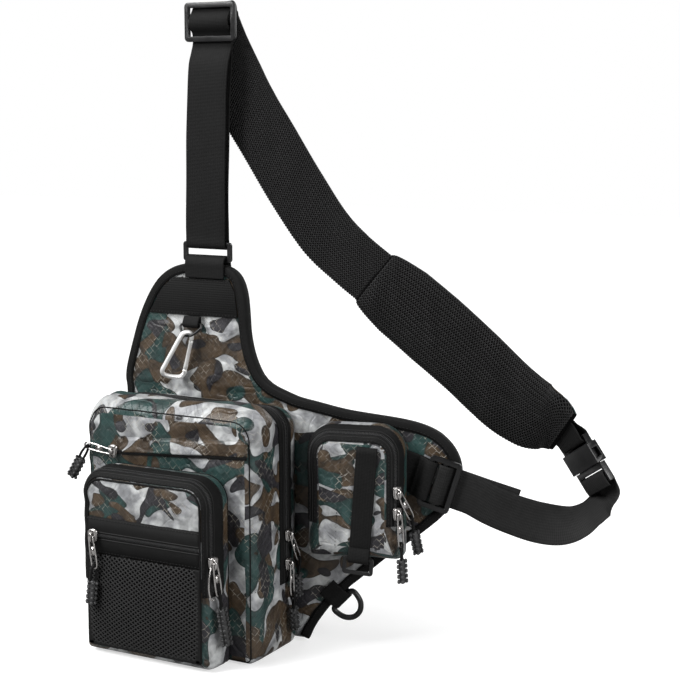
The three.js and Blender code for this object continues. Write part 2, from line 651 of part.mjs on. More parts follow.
// Each end of the tail leaves the sleeve's end face squarely, out of its middle by `out`
function tailEnd(out, reach) {
  const [before, last] = sleeveStations.slice(-2);
  const way = last.at.clone().sub(before.at).normalize();
  const across = last.across.clone().addScaledVector(way, -last.across.dot(way)).normalize();
  const at = last.at.clone().addScaledVector(way, reach);
  return { at: at.addScaledVector(way.cross(across), out), across, width: WAIST_WEB, thick: WEB_THICK };
}
const tailStations = [
  tailEnd(-2.2, SEAT + 0.1), tailEnd(-2.4, 3.5), ...SLEEVE_TAIL.map(buckleStation), tailEnd(2.4, 3.5),
  tailEnd(2.2, SEAT + 0.1),
];
add("sleeve_tail", ribbon(tailStations, 2), BLACK_WEB, wing);

// Wing slider, its anchor webbing and the waist strap

const SLIDER_LEAN = 17 * DEGREE;
const wingSlider = new THREE.Group();
wingSlider.position.set(135, 0, 165);
wingSlider.rotation.y = SLIDER_LEAN;
wing.add(wingSlider);
const wingFrame = mouldedFrame(31, 50, 4, [[-11, -2, -20.2, 20.2], [2, 11, -20.2, 20.2]], -10, -6);
add("wing_slider", wingFrame, BLACK_PLASTIC, wingSlider);

// Rows of X and Y in the slider's frame
const ANCHOR = [
  [-25, -1.4], [-21.5, -2.2], [-17.5, -4], [-13.2, -4.2], [-8.9, -4.5], [-7.6, -8], [-8.9, -11.5],
  [-13.2, -11.8], [-17.4, -9.8], [-21, -6.6], [-24.5, -5.2],
];
add("wing_anchor", ribbon(ANCHOR.map(([x, y]) => ({
  at: vec(x, y, 0), across: vec(0, 0, 1), width: WAIST_WEB, thick: WEB_THICK,
})), 2), BLACK_WEB, wingSlider);

// Near the slider: rows of X and Y in the slider's frame, from the free end round the middle bar
const WAIST_AT_SLIDER = [
  [72, 0.4], [44, -1.6], [20, -2.4], [13, -2.6], [6, -3], [0, -4.4], [-3.6, -5.4], [-4.8, -8], [-3.6, -10.9],
  [0, -11.6], [3.6, -10.9], [6.6, -7.2], [9.4, -5.2], [13, -4.85], [20, -4.8], [32, -5],
];
// Free run to the buckle: along, back and up in the wing's frame, with the turn of the webbing
const WAIST_RUN = [
  { along: 184, back: -4.5, up: 146.5, turn: 0 },
  { along: 206, back: -2, up: 138, turn: 4 },
  { along: 227, back: 2, up: 131.8, turn: 14 },
  { along: 245, back: 7, up: 129.4, turn: 30 },
  { along: 260, back: 12, up: 132.2, turn: 48 },
  { along: 272, back: 15.5, up: 139.5, turn: 58 },
  { along: 281.5, back: 17, up: 149, turn: 55 },
];
// Round the plug's bar: rows of X and Z in the buckle's frame
const WAIST_AT_PLUG = [
  [36, -1.6], [30, -3.4], [22, -4.5], [14, -3.6], [12.4, 0], [14, 3.6], [22, 4.5], [27.5, 4],
];
wingSlider.updateMatrix();
const waistStations = [
  ...WAIST_AT_SLIDER.map(([x, y]) => ({
    at: vec(x, y, 0).applyMatrix4(wingSlider.matrix),
    across: vec(0, 0, 1).transformDirection(wingSlider.matrix),
  })),
  ...WAIST_RUN.map(({ along, back, up, turn }, i, all) => {
    const [before, after] = [all[Math.max(i - 1, 0)], all[Math.min(i + 1, all.length - 1)]];
    const way = vec(after.along - before.along, 0, after.up - before.up).normalize();
    const across = vec(-way.z, 0, way.x).multiplyScalar(Math.cos(turn * DEGREE));
    across.y = Math.sin(turn * DEGREE);
    return { at: vec(along, back, up), across };
  }),
  ...WAIST_AT_PLUG.map(([x, z]) => ({
    at: vec(x, 0, z).applyMatrix4(buckle.matrix),
    across: buckleAcross.clone().negate(),
  })),
].map((row) => ({ ...row, width: WAIST_WEB, thick: WEB_THICK }));
add("waist_strap", ribbon(waistStations, 2), BLACK_WEB, wing);

// Ring and tab on the wing's lower edge

const dRing = new THREE.Group();
dRing.position.set(37, PANEL_THICK / 2, 47.6);
dRing.rotation.y = -46.7 * DEGREE;
wing.add(dRing);
const D_TAB = [
  [-6.9, 15], [-6.9, 8], [-6.8, 0.4], [-3.4, -4.8], [0, -7.2], [3.4, -4.8], [6.8, 0.4], [6.9, 8], [6.9, 15],
];
add("d_ring_tab", ribbon(D_TAB.map(([y, z]) => ({
  at: vec(0, y, z), across: vec(1, 0, 0), width: SIDE_WEB, thick: WEB_THICK,
})), 2), BLACK_WEB, dRing);
const D_PATH = [
  [-10, -4], [0, -4], [10, -4], [13.2, -6], [13.4, -11], [10.5, -19], [4, -24], [-4, -24], [-10.5, -19],
  [-13.4, -11], [-13.2, -6],
];
add("d_ring", wire(D_PATH.map(([x, z]) => vec(x, 0, z)), 1.9, 7, true), BLACK_PLASTIC, dRing);

// Carabiner on its small ring and tab under the neck patch

const HOOK = { across: -22, up: 309 };
const hookTab = new THREE.Group();
hookTab.position.set(HOOK.across, -3.2, HOOK.up);
bag.add(hookTab);
const HOOK_TAB = [[0.5, 0.6], [0.4, -4], [-0.6, -8.6], [-3.2, -10], [-5.4, -8], [-4.4, -3.5], [-2, 0.6]];
add("hook_tab", ribbon(HOOK_TAB.map(([y, z]) => ({
  at: vec(0, y, z), across: vec(1, 0, 0), width: 18, thick: 1.2,
})), 2), BLACK_WEB, hookTab);
const hookRing = new THREE.Group();
hookRing.position.set(0, -2.7, -7.4);
hookRing.rotation.x = -38 * DEGREE;
hookTab.add(hookRing);
const HOOK_RING = [
  [-10.6, 0], [0, 0], [10.6, 0], [12, -2], [9, -7.5], [3, -12.4], [-3, -12.4], [-9, -7.5], [-12, -2],
];
add("hook_ring", wire(HOOK_RING.map(([x, z]) => vec(x, 0, z)), 1.25, 6, true), BLACK_PLASTIC, hookRing);

const CARABINER = { across: -23.8, back: -13.5, up: 289.5, lean: 24, turn: 58, wire: 2.1 };
const carabiner = new THREE.Group();
carabiner.position.set(CARABINER.across, CARABINER.back, CARABINER.up);
carabiner.rotation.set(0, CARABINER.lean * DEGREE, CARABINER.turn * DEGREE, "YXZ");
bag.add(carabiner);
// Body from the gate's hinge round the wide end and up to the nose, in its own X and Z
const CARABINER_BODY = [
  [11.4, -34], [11.9, -37.6], [9.8, -41.2], [5, -42.6], [-5, -42.6], [-9.8, -41.2], [-12, -37.6],
  [-11.2, -31], [-8.6, -15], [-6.4, -1.6], [-4.5, 4.2], [0, 6.2], [4.5, 4.2], [6.4, -1],
];
const carabinerLine = CARABINER_BODY.map(([x, z]) => vec(x, 0, z));
add("carabiner_body", wire(carabinerLine, CARABINER.wire, 8, false), STEEL, carabiner);
const GATE = { hinge: [11.28, -33.2], nose: [6.55, -1.95] };
const gateRun = new THREE.Vector2(...GATE.nose).sub(new THREE.Vector2(...GATE.hinge));
const gate = new THREE.Group();
gate.position.set(GATE.hinge[0], 0, GATE.hinge[1]);
gate.rotation.y = Math.atan2(gateRun.x, gateRun.y);
carabiner.add(gate);
const gateRod = new THREE.CylinderGeometry(CARABINER.wire, CARABINER.wire, gateRun.length(), 8);
add("carabiner_gate", gateRod.rotateX(Math.PI / 2).translate(0, 0, gateRun.length() / 2), STEEL, gate);

// Zip pulls: a slider with its tab, and a cord loop moulded into a ribbed grip

const TAB_EYE = 27;
const SLIDER_OUTLINE = [[-4, 5.5], [4, 5.5], [4.6, 2], [2.8, -5.5], [-2.8, -5.5], [-4.6, 2]];

function pullMetal(lean) {
  const slider = plate(SLIDER_OUTLINE, -3.1, -0.1);
  const bridge = block(-1.3, 1.3, -5.6, -3, -4.4, 3);
  const outline = new THREE.Shape();
  outline.moveTo(-2.2, 0).lineTo(2.2, 0).lineTo(3.2, -12);
  outline.lineTo(3.4, -TAB_EYE).absarc(0, -TAB_EYE, 3.4, 0, -Math.PI, true).lineTo(-3.2, -12).lineTo(-2.2, 0);
  const tab = new THREE.ExtrudeGeometry(outline, { depth: 1.4, bevelEnabled: false, curveSegments: 5 });
  tab.rotateX(Math.PI / 2).translate(0, -3.9, 0);
  const eye = new THREE.CylinderGeometry(2.1, 2.1, 6, 8).translate(0, -4.6, -TAB_EYE);
  return fuse(slider, bridge, cut(tab, eye).rotateY(lean * DEGREE));
}

// Cord through the tab's eye: distance along the tail and to each side of the tab
const CORD_LOOP = [
  [17, -0.9], [9, -2], [3.4, -2.5], [0.4, -1.7], [-0.1, 0], [0.4, 1.7], [3.4, 2.5], [9, 2], [17, 0.9],
];
function pullTail(lean, sway, gripLength) {
  const eye = vec(-Math.sin(lean * DEGREE) * TAB_EYE, -4.6, -Math.cos(lean * DEGREE) * TAB_EYE);
  const down = vec(-Math.sin(sway * DEGREE), 0, -Math.cos(sway * DEGREE));
  const loop = CORD_LOOP.map(([along, out]) => eye.clone().addScaledVector(down, along).add(vec(0, out, 0)));
  const cord = wire(loop, 0.85, 5, false, 1);
  const ribs = Math.round(gripLength / 6.4);
  const outline = [[0, 0], [3, 0]];
  for (let rib = 0; rib < ribs; rib += 1) {
    const from = 1.5 + ((gripLength - 3) * rib) / ribs;
    const size = 5.6 - 1.2 * (rib / ribs);
    outline.push([size, from + 1], [size, from + 3], [size - 1.8, from + 4.4]);
  }
  outline.push([2, gripLength], [0, gripLength]);
  const grip = new THREE.LatheGeometry(outline.map(([r, t]) => new THREE.Vector2(r, -t)), 6);
  grip.rotateX(Math.PI / 2).scale(1, 0.62, 1).rotateY(sway * DEGREE);
  const start = eye.clone().addScaledVector(down, 15);
  return fuse(cord, closedLathe(grip).translate(start.x, start.y, start.z));
}

// A lathed body with its seam and poles welded
function closedLathe(geometry) {
  const bare = new THREE.BufferGeometry();
  bare.setAttribute("position", geometry.getAttribute("position"));
  bare.setIndex(geometry.index);
  const welded = mergeVertices(bare, 1e-3);
  const position = welded.getAttribute("position");
  const points = Array.from({ length: position.count }, (_, i) => (
    new THREE.Vector3().fromBufferAttribute(position, i)
  ));
  const faces = [];
  const index = welded.index.array;
  for (let f = 0; f < index.length; f += 3) {
    const [a, b, c] = [index[f], index[f + 1], index[f + 2]];
    if (a !== b && b !== c && a !== c) faces.push(a, b, c);
  }
  return closedSkin(points, faces);
}

function zipOut(box, wall, coil, up) {
  const [depth, inset] = wallPoint(wall[coil], wall[coil + 1], 0.5, SEAT + 2.4);
  return [box.right - inset, box.back - depth, up];
}
// Each pull: seat on the zip, which way it faces, the tilt of tab and tail, the grip's length
const slipSeat = [-60, mainFace - SEAT - 1.4, 188];
const netSeat = [-57, frontFace - SEAT - 2.5, netZipMiddle];
const frontSeat = (up) => zipOut(FRONT, frontZipWall, 1, up);
const mainSeat = (up) => zipOut(MAIN, mainZipWall, 0, up);
const sideSeat = (up) => zipOut(SIDE, sideZipWall, 1, up);
const PULLS = [
  { name: "slip", parent: bag, at: slipSeat, facing: 0, lean: 98, sway: 32, grip: 24 },
  { name: "net", parent: bag, at: netSeat, facing: 0, lean: -8, sway: 8, grip: 24 },
  { name: "front", parent: bag, at: frontSeat(104), facing: 68, lean: -8, sway: -10, grip: 38 },
  { name: "main_upper", parent: bag, at: mainSeat(112), facing: 90, lean: -28, sway: 0, grip: 24 },
  { name: "main_lower", parent: bag, at: mainSeat(84), facing: 90, lean: -2, sway: -8, grip: 24 },
  { name: "side_upper", parent: wing, at: sideSeat(160), facing: 51, lean: -30, sway: -15, grip: 24 },
  { name: "side_lower", parent: wing, at: sideSeat(140), facing: 51, lean: -4, sway: -4, grip: 24 },
];
for (const { name, parent, at, facing, lean, sway, grip } of PULLS) {
  const holder = new THREE.Group();
  holder.position.set(...at);
  holder.rotation.z = facing * DEGREE;
  parent.add(holder);
  add(`${name}_pull`, pullMetal(lean), STEEL, holder);
  add(`${name}_tail`, pullTail(lean, sway, grip), RUBBER, holder);
}

export default part;
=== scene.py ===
"""Looks of a sling tackle bag: cloth, padding, webbing, zips, net, hardware, light and camera.

Sizes are millimetres in the bag's own frame, with z 0 at its base, y 0 at the panel's face and the front
at -Y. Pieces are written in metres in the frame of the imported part, whose origin is where the strap hangs.
"""
import logging
import math
from dataclasses import dataclass, field
from enum import Enum
from typing import Sequence

import bmesh
import bpy
import numpy as np
from mathutils import Matrix, Vector


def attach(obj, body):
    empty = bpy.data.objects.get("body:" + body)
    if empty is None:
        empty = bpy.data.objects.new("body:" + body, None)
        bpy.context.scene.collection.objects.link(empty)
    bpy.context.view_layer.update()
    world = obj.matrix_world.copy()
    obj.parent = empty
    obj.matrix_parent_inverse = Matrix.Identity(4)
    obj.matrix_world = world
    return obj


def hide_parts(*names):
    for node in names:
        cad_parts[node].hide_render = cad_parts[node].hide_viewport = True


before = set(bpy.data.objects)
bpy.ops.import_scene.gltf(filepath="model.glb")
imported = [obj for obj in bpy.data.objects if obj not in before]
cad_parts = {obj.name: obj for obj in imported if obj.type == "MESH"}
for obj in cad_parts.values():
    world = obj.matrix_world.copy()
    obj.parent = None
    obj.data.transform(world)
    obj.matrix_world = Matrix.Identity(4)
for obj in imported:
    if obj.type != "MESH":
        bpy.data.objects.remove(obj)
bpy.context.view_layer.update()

LOG = logging.getLogger("tackle_bag")

HANG = np.array((-3.0, 10.2, 604.8))
METRE = 0.001
SEAT = 0.35
CLOTH_WALL = 1.6
WEB_THICK = 1.6
SHOULDER_WEB = 44.0
WAIST_WEB = 38.0
SIDE_WEB = 20.0
HOOK_WEB = 18.0
HOOK_WEB_THICK = 1.2
CLOTH_MAP = "cloth"
OUT = "out"
FORWARD = np.array((0, -1.0, 0))
MERGE = 4e-6
NODE_MERGE = 2e-6
SLIVER = 1e-7
FLAT_ANGLE = math.radians(2)
ROUNDED_ANGLE = math.radians(28)
SHARP_ANGLE = math.radians(50)
SWAY_LENGTH = 13.0
SWAY_SHIFT = 1.7
STITCH_SIZES = {"Pitch": 3.4, "Along": 2.4, "Across": 0.75, "Height": 0.6}
COIL_SIZES = {"Pitch": 1.3, "Along": 0.9, "Across": 3.9, "Height": 1.5}
RIDGE_SIZES = {"Radius": 0.4, "Sides": 6}
NET_SIZES = {"Radius": 0.74, "Sides": 6}
MESH_SIZES = {"Radius": 0.6, "Sides": 5}

Array = np.ndarray
Piece = bpy.types.Object
Material = bpy.types.Material
Socket = bpy.types.NodeSocket
Floats = Sequence[float]
Rows = Sequence[tuple[float, ...]]
Line = tuple[Array, Array]
Spot = tuple[float, float, float]
Colour = tuple[float, float, float, float]


class Slot(str, Enum):
    """Material slots of the record."""

    CAMOUFLAGE = "camouflage_cloth"
    PADDING = "padded_cloth"
    WEBBING = "webbing"
    ZIP_TAPE = "zip_tape"
    NET = "net"
    PLASTIC = "moulded_plastic"
    RUBBER = "rubber"
    STEEL = "steel"


class Body(str, Enum):
    """Rigid bodies of the part."""

    BAG = "bag"
    GATE = "gate"


# Places, curves and noise


@dataclass(frozen=True)
class Place:
    """A position and a turn in the bag's frame."""

    matrix: Matrix = field(default_factory=lambda: Matrix.Identity(4))

    def child(self, at: Floats, turn: Matrix | None = None) -> "Place":
        """Place inside this one, moved and then turned."""
        spin = turn.to_4x4() if turn is not None else Matrix.Identity(4)
        return Place(self.matrix @ Matrix.Translation(at) @ spin)

    def points(self, local: Array) -> Array:
        """Local points carried into the bag's frame."""
        whole = np.array(self.matrix)
        return np.asarray(local, float) @ whole[:3, :3].T + whole[:3, 3]

    def ways(self, local: Array) -> Array:
        """Local directions carried into the bag's frame."""
        return np.asarray(local, float) @ np.array(self.matrix)[:3, :3].T


def turned(degrees: float, axis: str) -> Matrix:
    """Rotation about one axis."""
    return Matrix.Rotation(math.radians(degrees), 3, axis)


BAG = Place()
WING = BAG.child((95, 0, 0), turned(15, "Z"))


def to_row(points: Array) -> Array:
    """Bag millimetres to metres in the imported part's frame."""
    return (np.asarray(points, float) - HANG) * METRE


def unit(vectors: Array) -> Array:
    """Vectors of length one."""
    vectors = np.asarray(vectors, float)
    return vectors / np.maximum(np.linalg.norm(vectors, axis=-1, keepdims=True), 1e-9)


def spline(knots: Array, per_span: int, closed: bool = False) -> Array:
    """Centripetal curve through knots.

    Args:
        knots: Points of any dimension.
        per_span: Samples for each span.
        closed: Whether the curve returns to its start.

    Returns:
        Samples along the curve; an open curve includes its last knot.
    """
    knots = np.asarray(knots, float)
    if closed:
        ring = np.vstack([knots[-1:], knots, knots[:2]])
    else:
        ring = np.vstack([2 * knots[0] - knots[1], knots, 2 * knots[-1] - knots[-2]])
    share = np.linspace(0, 1, per_span, endpoint=False)[:, None]
    runs = []
    for a, b, c, d in zip(ring, ring[1:], ring[2:], ring[3:]):
        first, middle, last = (max(np.linalg.norm(q - p) ** 0.5, 1e-4) for p, q in ((a, b), (b, c), (c, d)))
        leave = ((b - a) / first - (c - a) / (first + middle) + (c - b) / middle) * middle
        arrive = ((c - b) / middle - (d - b) / (middle + last) + (d - c) / last) * middle
        bend = (3 * (c - b) - 2 * leave - arrive) * share**2
        runs.append(b + leave * share + bend + (2 * (b - c) + leave + arrive) * share**3)
    if not closed:
        runs.append(knots[-1:])
    return np.vstack(runs)


def lengths(path: Array) -> Array:
    """Distance along a path at each of its points."""
    steps = np.linalg.norm(np.diff(path, axis=0), axis=1)
    return np.concatenate([[0], np.cumsum(steps)])


def between(where: Array, marks: Array, rows: Array) -> Array:
    """Rows of a table read at places between its marks."""
    return np.stack([np.interp(where, marks, column) for column in np.transpose(rows)], -1)


def evenly(path: Array, step: float) -> Array:
    """A path sampled at an even step."""
    run = lengths(path)
    return between(np.linspace(0, run[-1], max(2, round(run[-1] / step) + 1)), run, path)


def tangents(path: Array, closed: bool = False) -> Array:
    """Directions along a path."""
    if closed:
        return unit(np.roll(path, -1, axis=0) - np.roll(path, 1, axis=0))
    return unit(np.gradient(path, axis=0))


def round_off(line: Array, times: int = 2) -> Array:
    """Cuts the corners of a line, keeping its ends."""
    line = np.asarray(line, float)
    for _ in range(times):
        near = line[:-1] * 0.75 + line[1:] * 0.25
        far = line[:-1] * 0.25 + line[1:] * 0.75
        middle = np.stack([near, far], 1).reshape(-1, line.shape[1])
        line = np.vstack([line[:1], middle[1:-1], line[-1:]])
    return line


def ramp(value: Array, low: float, high: float) -> Array:
    """Smooth step from 0 at low to 1 at high, which may be the smaller."""
    share = np.clip((value - low) / (high - low), 0, 1)
    return share * share * (3 - 2 * share)


def plateau(value: Array, limits: Floats) -> Array:
    """Smooth rise between the first two limits and fall between the last two."""
    return ramp(value, limits[0], limits[1]) * ramp(value, limits[3], limits[2])


class Ripple:
    """Smooth noise that is the same at every run."""

    CELLS = 32

    def __init__(self, seed: int) -> None:
        """Fills the lattice from a seed."""
        self.lattice = np.random.default_rng(seed).uniform(-1, 1, (self.CELLS,) * 3)

    def __call__(self, points: Array, size: Floats) -> Array:
        """Noise at points.

        Args:
            points: Points in millimetres.
            size: Size of a ripple along each axis.

        Returns:
            Values from about -1 to 1.
        """
        scaled = np.asarray(points, float) / np.asarray(size, float) + 100.0
        base = np.floor(scaled).astype(int)
        share = scaled - base
        share = share * share * (3 - 2 * share)
        total = np.zeros(scaled.shape[:-1])
        for corner in np.ndindex(2, 2, 2):
            weight = np.prod(np.where(corner, share, 1 - share), axis=-1)
            cell = (base + np.array(corner)) % self.CELLS
            total += weight * self.lattice[cell[..., 0], cell[..., 1], cell[..., 2]]
        return total


# Meshes


def grid_ways(points: Array) -> Array:
    """Normals of a grid of points."""
    down = np.gradient(points, axis=0)
    along = np.gradient(points, axis=1)
    return unit(np.cross(down, along))


def grid_map(points: Array) -> Array:
    """Cloth map of a grid: distance across each row and down one of its columns."""
    across = np.linalg.norm(np.diff(points, axis=1), axis=2)
    u = np.concatenate([np.zeros((len(points), 1)), np.cumsum(across, axis=1)], axis=1)
    quarter = points[:, points.shape[1] // 4]
    v = np.repeat(lengths(quarter)[:, None], points.shape[1], axis=1)
    return np.stack([u, v], -1)


def put(name: str, data: bpy.types.ID) -> Piece:
    """Adds an object with its data to the scene."""
    made = bpy.data.objects.new(name, data)
    bpy.context.scene.collection.objects.link(made)
    return made


class Skin:
    """Faces with a cloth map in millimetres, gathered and made one piece."""

    def __init__(self) -> None:
        """Starts empty."""
        self.points: list[Array] = []
        self.faces: list[Array] = []
        self.maps: list[Array] = []
        self.inks: list[Array] = []
        self.count = 0

    def grid(self, points: Array, cloth: Array | None = None, ink: int = 0) -> "Skin":
        """Adds a grid of quads.

        Args:
            points: Rows by columns of points.
            cloth: Rows by columns of map places, or measured from the grid.
            ink: Index of the finish.

        Returns:
            This skin.
        """
        rows, columns = points.shape[:2]
        cloth = grid_map(points) if cloth is None else cloth
        index = np.arange(rows * columns).reshape(rows, columns)
        corners = [index[:-1, :-1], index[:-1, 1:], index[1:, 1:], index[1:, :-1]]
        quads = np.stack(corners, -1).reshape(-1, 4)
        self.points.append(points.reshape(-1, 3))
        self.maps.append(cloth.reshape(-1, 2)[quads])
        self.faces.append(quads + self.count)
        self.inks.append(np.full(len(quads), ink))
        self.count += rows * columns
        return self

    def cap(self, ring: Array, ink: int = 0) -> "Skin":
        """Closes a ring with a fan to its middle."""
        middle = np.repeat(ring.mean(axis=0)[None], len(ring), axis=0)
        return self.grid(np.stack([ring, middle]), ink=ink)

    def rod(self, rings: Sequence[Array], cloth: Array | None = None, ink: int = 0) -> "Skin":
        """Adds a run of rings and closes both its ends."""
        return self.grid(np.stack(rings), cloth, ink).cap(rings[0], ink).cap(rings[-1], ink)

    def mesh(self, name: str, place: Place = BAG) -> Piece:
        """Makes the gathered faces one mesh object.

        Args:
            name: Name of the piece.
            place: Frame that the points are in.

        Returns:
            The object, at the origin, with merged points and outward faces.
        """
        data = bpy.data.meshes.new(name)
        points = to_row(place.points(np.vstack(self.points)))
        data.from_pydata(points.tolist(), [], np.vstack(self.faces).tolist())
        cloth = data.uv_layers.new(name=CLOTH_MAP)
        cloth.data.foreach_set("uv", (np.vstack(self.maps) * METRE).astype(np.float32).ravel())
        data.polygons.foreach_set("material_index", np.concatenate(self.inks).astype(np.int32))
        form = bmesh.new()
        form.from_mesh(data)
        bmesh.ops.remove_doubles(form, verts=form.verts, dist=MERGE)
        bmesh.ops.dissolve_degenerate(form, edges=form.edges, dist=SLIVER)
        bmesh.ops.recalc_face_normals(form, faces=form.faces)
        form.to_mesh(data)
        form.free()
        data.shade_smooth()
        return put(name, data)


def settle(piece: Piece) -> Piece:
    """Turns a piece's modifiers into its plain mesh."""
    graph = bpy.context.evaluated_depsgraph_get()
    solid = bpy.data.meshes.new_from_object(piece.evaluated_get(graph))
    piece.modifiers.clear()
    piece.data = solid
    return piece


def thicken(piece: Piece, wall: float) -> Piece:
    """Gives an open skin its wall, inwards.

    Args:
        piece: Skin with outward faces.
        wall: Thickness in millimetres.

    Returns:
        The same object with a closed wall.
    """
    solid = piece.modifiers.new("wall", "SOLIDIFY")
    solid.thickness = wall * METRE
    solid.offset = -1
    return settle(piece)


def keep(
    piece: Piece, finishes: Sequence[Material], nodes: Sequence[str] = (), body: Body = Body.BAG
) -> None:
    """Dresses a finished piece and ties it to the part.

    Args:
        piece: Finished mesh object.
        finishes: Materials, in the order of the faces' indices.
        nodes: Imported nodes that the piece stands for.
        body: Body that it moves with.
    """
    inks = np.zeros(len(piece.data.polygons), np.int32)
    piece.data.polygons.foreach_get("material_index", inks)
    piece.data.materials.clear()
    for finish in finishes:
        piece.data.materials.append(finish)
    piece.data.polygons.foreach_set("material_index", np.minimum(inks, len(finishes) - 1))
    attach(piece, body.value)
    if nodes:
        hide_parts(*nodes)
    LOG.info("%s: %d faces", piece.name, len(piece.data.polygons))


def box_map(data: bpy.types.Mesh) -> None:
    """Maps a mesh by the side that each face looks to."""
    cloth = data.uv_layers.get(CLOTH_MAP) or data.uv_layers.new(name=CLOTH_MAP)
    for face in data.polygons:
        drop = max(range(3), key=lambda axis: abs(face.normal[axis]))
        kept = [axis for axis in range(3) if axis != drop]
        for loop in face.loop_indices:
            point = data.vertices[data.loops[loop].vertex_index].co
            cloth.data[loop].uv = (point[kept[0]], point[kept[1]])


def softened_copy(node: str, name: str, edge: float, segments: int = 3) -> Piece:
    """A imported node's shape with rounded edges.

    Args:
        node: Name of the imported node.
        name: Name of the new piece.
        edge: Width of the rounding in millimetres.
        segments: Steps of the rounding.

    Returns:
        A new object with a plain mesh.
    """
    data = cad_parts[node].data.copy()
    data.name = name
    form = bmesh.new()
    form.from_mesh(data)
    bmesh.ops.remove_doubles(form, verts=form.verts, dist=NODE_MERGE)
    bmesh.ops.dissolve_limit(form, angle_limit=FLAT_ANGLE, verts=form.verts, edges=form.edges)
    form.to_mesh(data)
    form.free()
    piece = put(name, data)
    bevel = piece.modifiers.new("edges", "BEVEL")
    bevel.width = edge * METRE
    bevel.segments = segments
    bevel.limit_method = "ANGLE"
    bevel.angle_limit = ROUNDED_ANGLE
    settle(piece)
    box_map(piece.data)
    piece.data.shade_smooth()
    piece.data.set_sharp_from_angle(angle=SHARP_ANGLE)
    return piece


DOME = ((0.5, 0.87), (0.87, 0.5), (1.0, 0.0))
OFF_AXIS = (0.31, 0.87, 0.38)


def tube_rings(path: Array, radius: float, sides: int, closed: bool) -> Array:
    """Rings of a round tube.

    Args:
        path: Points along the middle.
        radius: Radius of the tube.
        sides: Sides of each ring.
        closed: Whether the path returns to its start.

    Returns:
        Rings by sides + 1 points, the last point of a ring being its first.
    """
    ways = tangents(path, closed)
    side = np.cross(ways[0], OFF_AXIS)
    angles = np.linspace(0, 2 * math.pi, sides + 1)
    rings = []
    for centre, way in zip(path, ways):
        side = unit(side - way * np.dot(side, way))
        other = np.cross(way, side)
        rings.append(centre + radius * (np.cos(angles)[:, None] * side + np.sin(angles)[:, None] * other))
    if closed:
        rings.append(rings[0])
    return np.stack(rings)


def add_tube(
    skin: Skin, path: Array, radius: float, sides: int = 8, closed: bool = False, ink: int = 0
) -> Skin:
    """Adds a round tube with domed ends to a skin.

    Args:
        skin: Skin that takes the faces.
        path: Points along the middle.
        radius: Radius of the tube.
        sides: Sides of each ring.
        closed: Whether the path returns to its start.
        ink: Index of the finish.

    Returns:
        The skin.
    """
    rings = tube_rings(path, radius, sides, closed)
    if not closed:
        ways = tangents(path)
        domes = []
        for end, sign in ((0, -1), (-1, 1)):
            spokes, out = rings[end] - path[end], sign * ways[end] * radius
            dome = [path[end] + spokes * shrink + out * reach for reach, shrink in DOME]
            domes.append(np.stack(dome))
        rings = np.concatenate([domes[0][::-1], rings, domes[1]])
    return skin.grid(rings, ink=ink)


def add_ball(skin: Skin, centre: Array, radius: float, ink: int = 0) -> None:
    """Adds a small round ball to a skin."""
    rise = np.linspace(-math.pi / 2, math.pi / 2, 5)[:, None]
    turn = np.linspace(0, 2 * math.pi, 9)[None]
    flat = np.cos(rise)
    shape = np.broadcast_arrays(flat * np.cos(turn), flat * np.sin(turn), np.sin(rise))
    skin.grid(centre + radius * np.stack(shape, -1), ink=ink)


# Ribbons of webbing and padding


@dataclass(frozen=True)
class Station:
    """One section of a strap."""

    at: Floats
    across: Floats
    width: float
    thick: float


def follow(stations: Sequence[Station], per_span: int) -> tuple[Array, ...]:
    """Path of a strap with its width, thickness and directions.

    Args:
        stations: Sections from one end to the other.
        per_span: Samples between two sections.

    Returns:
        Middle points, directions across and out, half widths and half thicknesses.
    """
    path = spline([row.at for row in stations], per_span)
    place = np.arange(len(path)) / per_span
    index = np.arange(len(stations))
    across = between(place, index, [row.across for row in stations])
    ways = tangents(path)
    across = unit(across - ways * np.sum(across * ways, axis=1, keepdims=True))
    out = np.cross(ways, across)
    half = np.interp(place, index, [row.width / 2 for row in stations])
    thick = np.interp(place, index, [row.thick / 2 for row in stations])
    return path, across, out, half, thick


def tape_section(half: float, thick: float, flat_steps: int = 6, round_steps: int = 4) -> Array:
    """Outline of webbing with round edges, closed on its first point."""
    flat = np.linspace(-1, 1, flat_steps + 1) * (half - thick)
    turn = np.linspace(-math.pi / 2, math.pi / 2, round_steps + 1)[1:-1]
    edge = np.stack([half - thick + thick * np.cos(turn), thick * np.sin(turn)], -1)
    lower = np.stack([flat, np.full_like(flat, -thick)], -1)
    outline = np.vstack([lower, edge, -lower, -edge])
    return np.vstack([outline, outline[:1]])


def add_webbing(skin: Skin, stations: Sequence[Station], per_span: int = 8, sway: float = 0.0) -> Skin:
    """Adds a run of webbing to a skin.

    Args:
        skin: Skin that takes the faces.
        stations: Sections from one end to the other.
        per_span: Samples between two sections.
        sway: Height of the soft waves along the edges.

    Returns:
        The skin.
    """
    path, across, out, half, thick = follow(stations, per_span)
    run = lengths(path)
    rings = []
    for i, centre in enumerate(path):
        section = tape_section(half[i], thick[i])
        phase = run[i] / SWAY_LENGTH + SWAY_SHIFT * np.sign(section[:, 0])
        wave = sway * np.sin(phase) * (section[:, 0] / half[i]) ** 2
        lift = (section[:, 1] + wave)[:, None]
        rings.append(centre + section[:, :1] * across[i] + lift * out[i])
    return skin.rod(rings)


